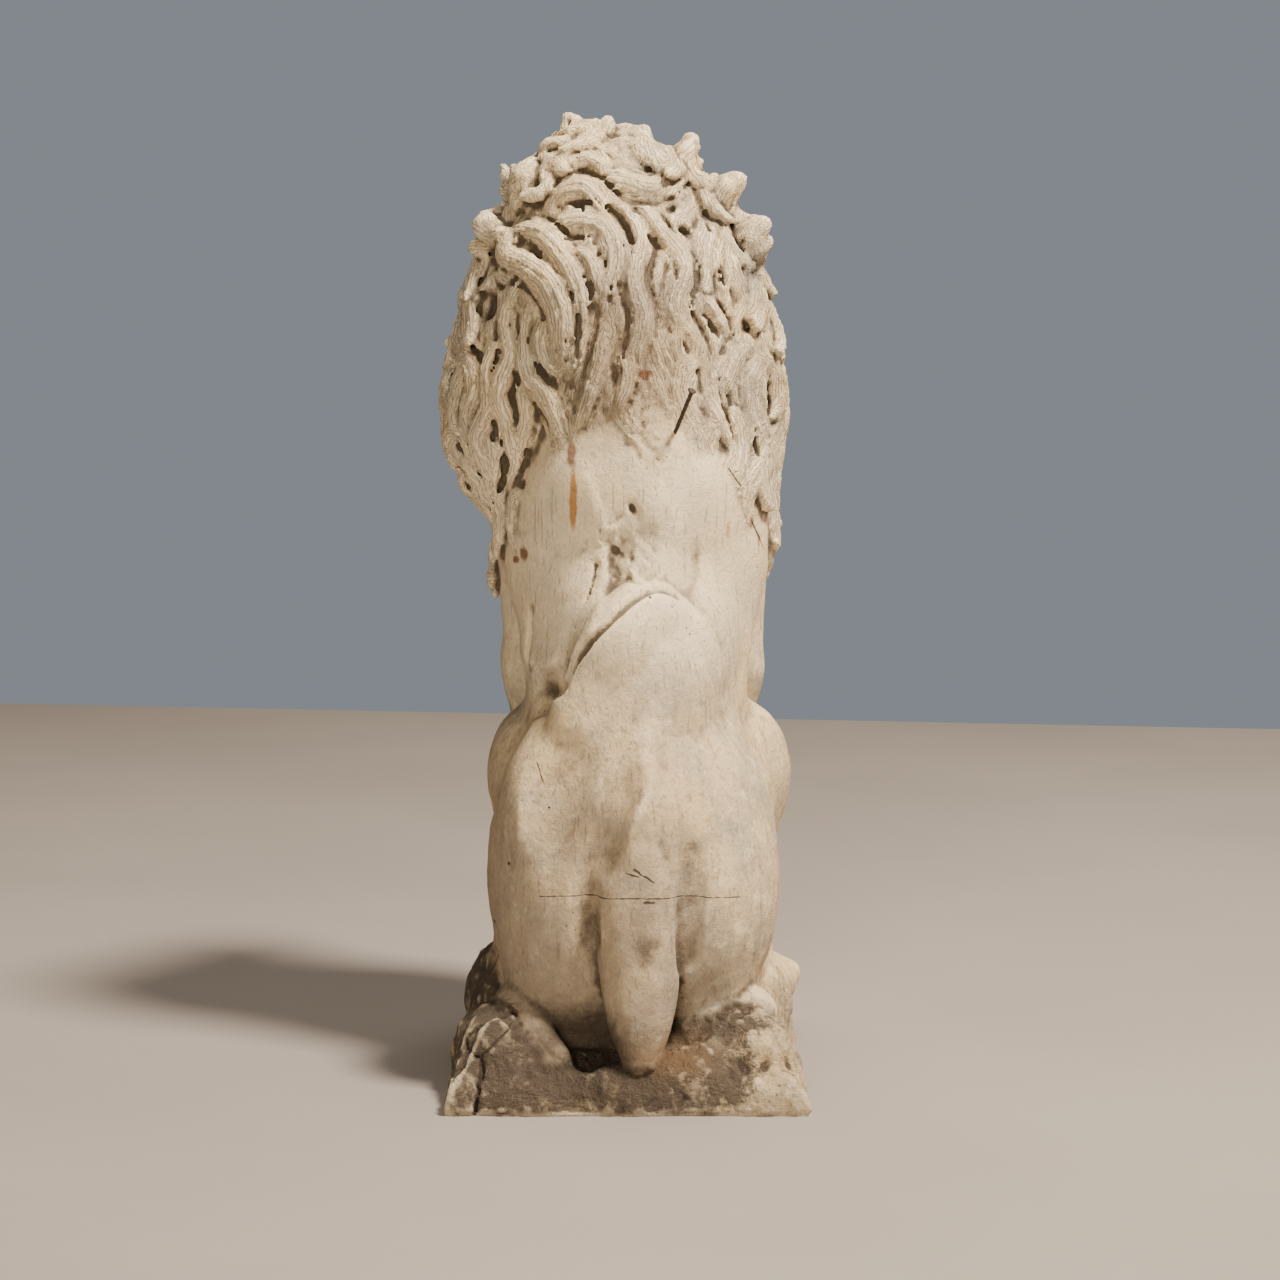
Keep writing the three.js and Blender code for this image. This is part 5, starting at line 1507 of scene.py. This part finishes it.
def plaster_material(look):
    """Old plaster: its layers of colour, and one height of grain, pits, cracks, strands and
    rough rock that bumps its normals."""
    material, graph, shader = new_material("old_plaster")
    put, mix, math_, ramp, noise = graph.put, graph.mix, graph.math, graph.ramp, graph.noise
    place = put("ShaderNodeTexCoord").outputs["Object"]
    stone, across, tint = (attribute(graph, name) for name in ("stone", "across", "tint"))
    colour, spots, mottle, salt = lay_plaster(graph, look, place, tint)
    colour = lay_grime_shade_and_light(graph, look, place, colour, (spots, mottle), stone, tint)
    colour = lay_stains(graph, look, place, colour)
    depth = cracks_and_pinholes(graph, place, mottle)
    colour = mix(math_("MULTIPLY", depth, 0.9), colour, look.deep)

    # small pinholes of the cast, here and there
    cells = put("ShaderNodeTexVoronoi", {"Vector": place, "Scale": 95.0}, feature="F1")
    pits = ramp(cells.outputs["Distance"], 0.16, 0.08)
    pits = math_("MULTIPLY", pits, ramp(noise(place, 9.0, 2.0), 0.55, 0.7))
    colour = mix(math_("MULTIPLY", pits, 0.7), colour, look.deep)

    # hair drawn with a point: fine furrows along each lock, where a sine of across is low, bumped in and
    # darkened with painted shade
    phase = math_("MULTIPLY_ADD", across, 1.7, math_("MULTIPLY", noise(place, 60.0, 3.0), 8.0))
    furrow = math_("MULTIPLY", ramp(math_("SINE", phase), -0.2, -1.0), ramp(tint, 0.001, 0.01))
    colour = mix(math_("MULTIPLY", furrow, 0.26), colour, look.dirt_and_shade)

    slant = {"Vector": place, "Rotation": (0.0, 0.6, 0.0), "Scale": (1, 1, 0.08)}
    scratches = ramp(noise(put("ShaderNodeMapping", slant).outputs[0], 260.0, 3.0, 0.6), 0.6, 0.68)
    colour = mix(math_("MULTIPLY", scratches, look.mottle), colour, look.dirt_and_shade)

    grain = noise(place, 240.0, 6.0, 0.7)
    height = math_("MULTIPLY_ADD", grain, 0.6, math_("MULTIPLY", spots, 0.8))
    rugged = math_("ADD", math_("MULTIPLY", spots, 5.0), math_("MULTIPLY", mottle, 8.0))
    sunk = math_("MULTIPLY_ADD", depth, 2.0, pits)
    layers = ((mottle, 0.8), (salt, 0.35), (scratches, -0.3), (math_("MULTIPLY", rugged, stone), 1.0))
    for layer, rise in (*layers, (sunk, -0.6), (furrow, -0.9)):
        height = math_("MULTIPLY_ADD", layer, rise, height)
    bump = put("ShaderNodeBump", {"Height": height, "Strength": 1.0, "Distance": look.grain * MM})
    rough = ramp(spots, 0.3, 0.7, look.roughness - 0.08, look.roughness + 0.04)
    graph.tree.links.new(colour, shader.inputs["Base Color"])
    graph.tree.links.new(rough, shader.inputs["Roughness"])
    graph.tree.links.new(bump.outputs[0], shader.inputs["Normal"])
    shader.inputs["Specular IOR Level"].default_value = 0.25
    return material


def iron_material(look):
    """Black-brown iron under a crust of rust."""
    material, graph, shader = new_material("rusty_iron")
    place = graph.put("ShaderNodeTexCoord").outputs["Object"]
    crust = graph.noise(place, 420.0, 6.0, 0.7)
    colour = graph.mix(graph.ramp(crust, 0.42, 0.66), look.iron, look.iron_rust)
    bump = graph.put("ShaderNodeBump", {"Height": crust, "Strength": 0.7, "Distance": 0.5 * MM})
    links = graph.tree.links
    links.new(colour, shader.inputs["Base Color"])
    links.new(graph.ramp(crust, 0.35, 0.65, 0.6, 0.9), shader.inputs["Roughness"])
    links.new(graph.ramp(crust, 0.45, 0.6, 0.5, 0.05), shader.inputs["Metallic"])
    links.new(bump.outputs[0], shader.inputs["Normal"])
    return material


def floor_material(look):
    """Pale polished screed with faint clouds."""
    material, graph, shader = new_material("pale_floor")
    place = graph.put("ShaderNodeTexCoord").outputs["Object"]
    clouds = graph.noise(place, 1.6, 4.0, 0.5)
    lighter = [min(1.0, 1.07 * c) for c in look.floor[:3]] + [1.0]
    colour = graph.mix(graph.ramp(clouds, 0.35, 0.65), look.floor, lighter)
    bump = graph.put("ShaderNodeBump", {"Height": graph.noise(place, 60.0, 4.0), "Distance": 0.3 * MM})
    graph.tree.links.new(colour, shader.inputs["Base Color"])
    graph.tree.links.new(bump.outputs[0], shader.inputs["Normal"])
    shader.inputs["Roughness"].default_value = 0.62
    return material


# The stage


def area_light(name, place, aim, size, power, colour):
    light = bpy.data.lights.new(name, "AREA")
    light.shape = "DISK"
    light.size = size
    light.energy = power
    light.color = colour
    lamp = bpy.data.objects.new(name, light)
    lamp.location = place
    lamp.rotation_euler = (Vector(aim) - Vector(place)).to_track_quat("-Z", "Y").to_euler()
    bpy.context.scene.collection.objects.link(lamp)


FLOOR_TURN = -9.2  # degrees: the far edge of the floor isn't square to the view


def set_stage(look):
    """A square floor, plain blue-grey surroundings, soft lights and a camera straight behind
    the lion."""
    scene = bpy.context.scene
    reach = look.floor_size / 2
    corners = np.array([(-reach, -reach, 0), (reach, -reach, 0), (reach, reach, 0), (-reach, reach, 0)])
    corners = corners @ turned((0, 0, FLOOR_TURN)).T
    floor = mesh_object("floor", corners, np.array([[0, 1, 2, 3]]), smooth=False)
    floor.data.materials.append(floor_material(look))
    floor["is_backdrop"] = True

    world = bpy.data.worlds.new("room")
    world.use_nodes = True
    room = Graph(world.node_tree)
    background = room.put("ShaderNodeBackground", {"Color": look.room, "Strength": 1.0})
    ambient = room.put("ShaderNodeBackground", {"Color": look.room, "Strength": look.room_light})
    seen = room.put("ShaderNodeLightPath").outputs["Is Camera Ray"]
    both = room.put("ShaderNodeMixShader", {0: seen, 1: ambient.outputs[0], 2: background.outputs[0]})
    room.tree.links.new(both.outputs[0], room.put("ShaderNodeOutputWorld").inputs["Surface"])
    scene.world = world

    middle = (0, 0, 0.5)
    area_light("key", (-2.1, 1.15, 4.7), middle, 0.9, look.key_power, (1.0, 0.89, 0.77))
    area_light("fill", (0.5, 3.6, 1.1), middle, 1.2, look.fill_power, (1.0, 0.9, 0.78))
    area_light("top", (0.1, -0.8, 4.2), middle, 1.3, look.top_power, (1.0, 0.9, 0.79))

    camera = bpy.data.objects.new("camera", bpy.data.cameras.new("camera"))
    camera.data.lens = look.lens
    camera.location = look.camera
    camera.rotation_euler = (math.radians(90 - look.pitch), 0, math.pi)
    scene.collection.objects.link(camera)
    scene.camera = camera


# The add-on


def length(name, description, default, low=0.0001, high=10.0):
    return bpy.props.FloatProperty(
        name=name, description=description, default=default, min=low, max=high, unit="LENGTH", precision=4
    )


def share(name, description, default, low=0.0, high=1.0):
    return bpy.props.FloatProperty(
        name=name, description=description, default=default, min=low, max=high, subtype="FACTOR"
    )


def power(name, default):
    return bpy.props.FloatProperty(
        name=name, description="Power of the " + name.lower(), default=default, min=0, unit="POWER"
    )


def number(name, description, default, low=0.0):
    return bpy.props.FloatProperty(name=name, description=description, default=default, min=low)


def colour(name, description, *shades):
    return bpy.props.FloatVectorProperty(
        name=name, description=description, default=(*shades, 1.0), size=4, min=0, max=1, subtype="COLOR"
    )


class LionSizes(bpy.types.PropertyGroup):
    figure_height: length("Figure height", "From the rim of the base to the top of the crown", 0.96)
    base_width: length("Base width", "Across the base", 0.36)
    base_length: length("Base length", "Along the base", 0.58)
    base_height: length("Base height", "Height of the base's rim", 0.04)
    grid_step: length("Grid step", "Between the points where the clay is measured", 0.0026, 0.0015)
    triangles: bpy.props.IntProperty(
        name="Triangles", description="How many triangles the skin is thinned to", default=190000, min=1000
    )
    strand_depth: length("Strand depth", "Depth of the furrows between a lock's strands", 0.0032)


class NailSizes(bpy.types.PropertyGroup):
    length: length("Length", "From point to head", 0.084)
    diameter: length("Diameter", "Of the shank", 0.0038)
    head_diameter: length("Head diameter", "Across the head", 0.0086)
    head_thickness: length("Head thickness", "Of the head", 0.0018)
    bend: length("Bend", "How far the middle of the shank stands out to one side", 0.0006)


class FinishLook(bpy.types.PropertyGroup):
    plaster: colour("Plaster", "Most of the cast", 0.70, 0.52, 0.29)
    # also paints the highlight on what stands out and the light on the upper back
    pale: colour("Pale", "Worn and scraped places", 0.93, 0.765, 0.5)
    grey: colour("Grey", "Weathered clouds", 0.42, 0.35, 0.245)
    # also the colour of painted shade: in broad hollows, in the hair's furrows and low down
    dirt_and_shade: colour("Dirt and shade", "Dust in shallow hollows", 0.22, 0.158, 0.1)
    # darkens narrow hollows with grime and painted shade, and marks cracks and pits
    deep: colour("Deep dirt", "Grime in deep hollows", 0.045, 0.03, 0.019)
    # also paints shade on the base, together with its earth
    brown: colour("Brown", "Earth and brown stains", 0.085, 0.062, 0.042)
    rust: colour("Rust", "Red-brown rust stains", 0.14, 0.04, 0.017)
    orange: colour("Orange", "Run-down rust", 0.46, 0.23, 0.075)
    pink: colour("Pink", "Faint rust", 0.45, 0.2, 0.11)
    slate: colour("Slate", "Grey recesses of the mane", 0.17, 0.16, 0.145)
    iron: colour("Iron", "The nail under its rust", 0.03, 0.024, 0.02)
    iron_rust: colour("Iron rust", "The nail's crust", 0.085, 0.045, 0.025)
    # Shade is painted shade; the crease darkening is partly painted shade, the paling of edges partly a
    # painted highlight, the darkening low down and on the rock partly painted shade, and the upper-back
    # band painted light
    shade: share("Shade", "How far broad hollows darken", 0.75)
    crease_dirt_and_shade: share("Crease dirt and shade", "How far narrow hollows darken", 0.85)
    wear_and_highlight: share("Wear and highlight", "How far edges pale", 0.6)
    dust_and_shade: share("Dust and shade", "How far the lower part is darker", 0.68)
    upper_back_light: share("Upper back light", "How far the upper back is paler", 0.5)
    mottle: share("Mottle", "How strongly the plaster is speckled", 0.4)
    soil_and_shade: share("Soil and shade", "How far earth covers the rock", 0.92)
    roughness: share("Roughness", "Of the plaster", 0.88)
    grain: number("Grain", "Height of the fine relief in millimetres", 1.5)


class StageLook(bpy.types.PropertyGroup):
    floor_size: length("Floor size", "Each side of the floor", 5.6)
    floor: colour("Floor", "The floor's colour", 0.27, 0.235, 0.205)
    room: colour("Room", "The plain surroundings", 0.225, 0.25, 0.275)
    room_light: number("Room light", "How strongly the surroundings light the lion", 0.065)
    key_power: power("Key light", 750.0)
    fill_power: power("Fill light", 92.0)
    top_power: power("Top light", 80.0)
    lens: number("Lens", "Focal length in millimetres", 85.0, 1.0)
    camera: bpy.props.FloatVectorProperty(
        name="Camera", description="Where the camera stands", default=(-0.012, 3.19, 0.762), unit="LENGTH"
    )
    pitch: number("Pitch", "Degrees the camera looks down", 5.763, -90.0)


class PLASTER_LION_OT_lion(bpy.types.Operator):
    """Models the lion with its base in plaster"""

    bl_idname = "plaster_lion.model_lion"
    bl_label = "Model the lion"
    bl_options = {"REGISTER", "UNDO"}

    def execute(self, context):
        lion = model_lion(context.scene.plaster_lion_sizes)
        lion.data.materials.append(plaster_material(context.scene.plaster_lion_finish))
        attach(lion, "root")
        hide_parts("lion")
        return {"FINISHED"}


class PLASTER_LION_OT_nail(bpy.types.Operator):
    """Models the nail in the lion's nape"""

    bl_idname = "plaster_lion.model_nail"
    bl_label = "Model the nail"
    bl_options = {"REGISTER", "UNDO"}

    def execute(self, context):
        nail = model_nail(context.scene.plaster_lion_nail)
        nail.data.materials.append(iron_material(context.scene.plaster_lion_finish))
        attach(nail, "root")
        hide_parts("nape_nail")
        return {"FINISHED"}


class PLASTER_LION_OT_stage(bpy.types.Operator):
    """Sets up the floor, the lights and the camera"""

    bl_idname = "plaster_lion.set_stage"
    bl_label = "Set the stage"
    bl_options = {"REGISTER", "UNDO"}

    def execute(self, context):
        set_stage(context.scene.plaster_lion_stage)
        return {"FINISHED"}


class PLASTER_LION_PT_panel(bpy.types.Panel):
    bl_idname = "PLASTER_LION_PT_panel"
    bl_label = "Plaster Lion"
    bl_space_type = "VIEW_3D"
    bl_region_type = "UI"
    bl_category = "Plaster Lion"

    def draw(self, context):
        scene = context.scene
        sections = (
            (scene.plaster_lion_sizes, PLASTER_LION_OT_lion),
            (scene.plaster_lion_finish, None),
            (scene.plaster_lion_nail, PLASTER_LION_OT_nail),
            (scene.plaster_lion_stage, PLASTER_LION_OT_stage),
        )
        for settings, operator in sections:
            box = self.layout.box()
            for name in type(settings).__annotations__:
                box.prop(settings, name)
            if operator:
                box.operator(operator.bl_idname)


GROUPS = {
    "plaster_lion_sizes": LionSizes,
    "plaster_lion_nail": NailSizes,
    "plaster_lion_finish": FinishLook,
    "plaster_lion_stage": StageLook,
}
CLASSES = (
    *GROUPS.values(),
    PLASTER_LION_OT_lion,
    PLASTER_LION_OT_nail,
    PLASTER_LION_OT_stage,
    PLASTER_LION_PT_panel,
)


def register():
    for kind in CLASSES:
        bpy.utils.register_class(kind)
    for name, kind in GROUPS.items():
        setattr(bpy.types.Scene, name, bpy.props.PointerProperty(type=kind))


def unregister():
    for name in GROUPS:
        delattr(bpy.types.Scene, name)
    for kind in reversed(CLASSES):
        bpy.utils.unregister_class(kind)


def main():
    register()
    bpy.ops.plaster_lion.model_lion()
    bpy.ops.plaster_lion.model_nail()
    bpy.ops.plaster_lion.set_stage()
    boxes = {"cad": CAD_BOX, "visual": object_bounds()}
    {name: [list(corner) for corner in box] for name, box in boxes.items()}


if __name__ == "__main__":
    main()
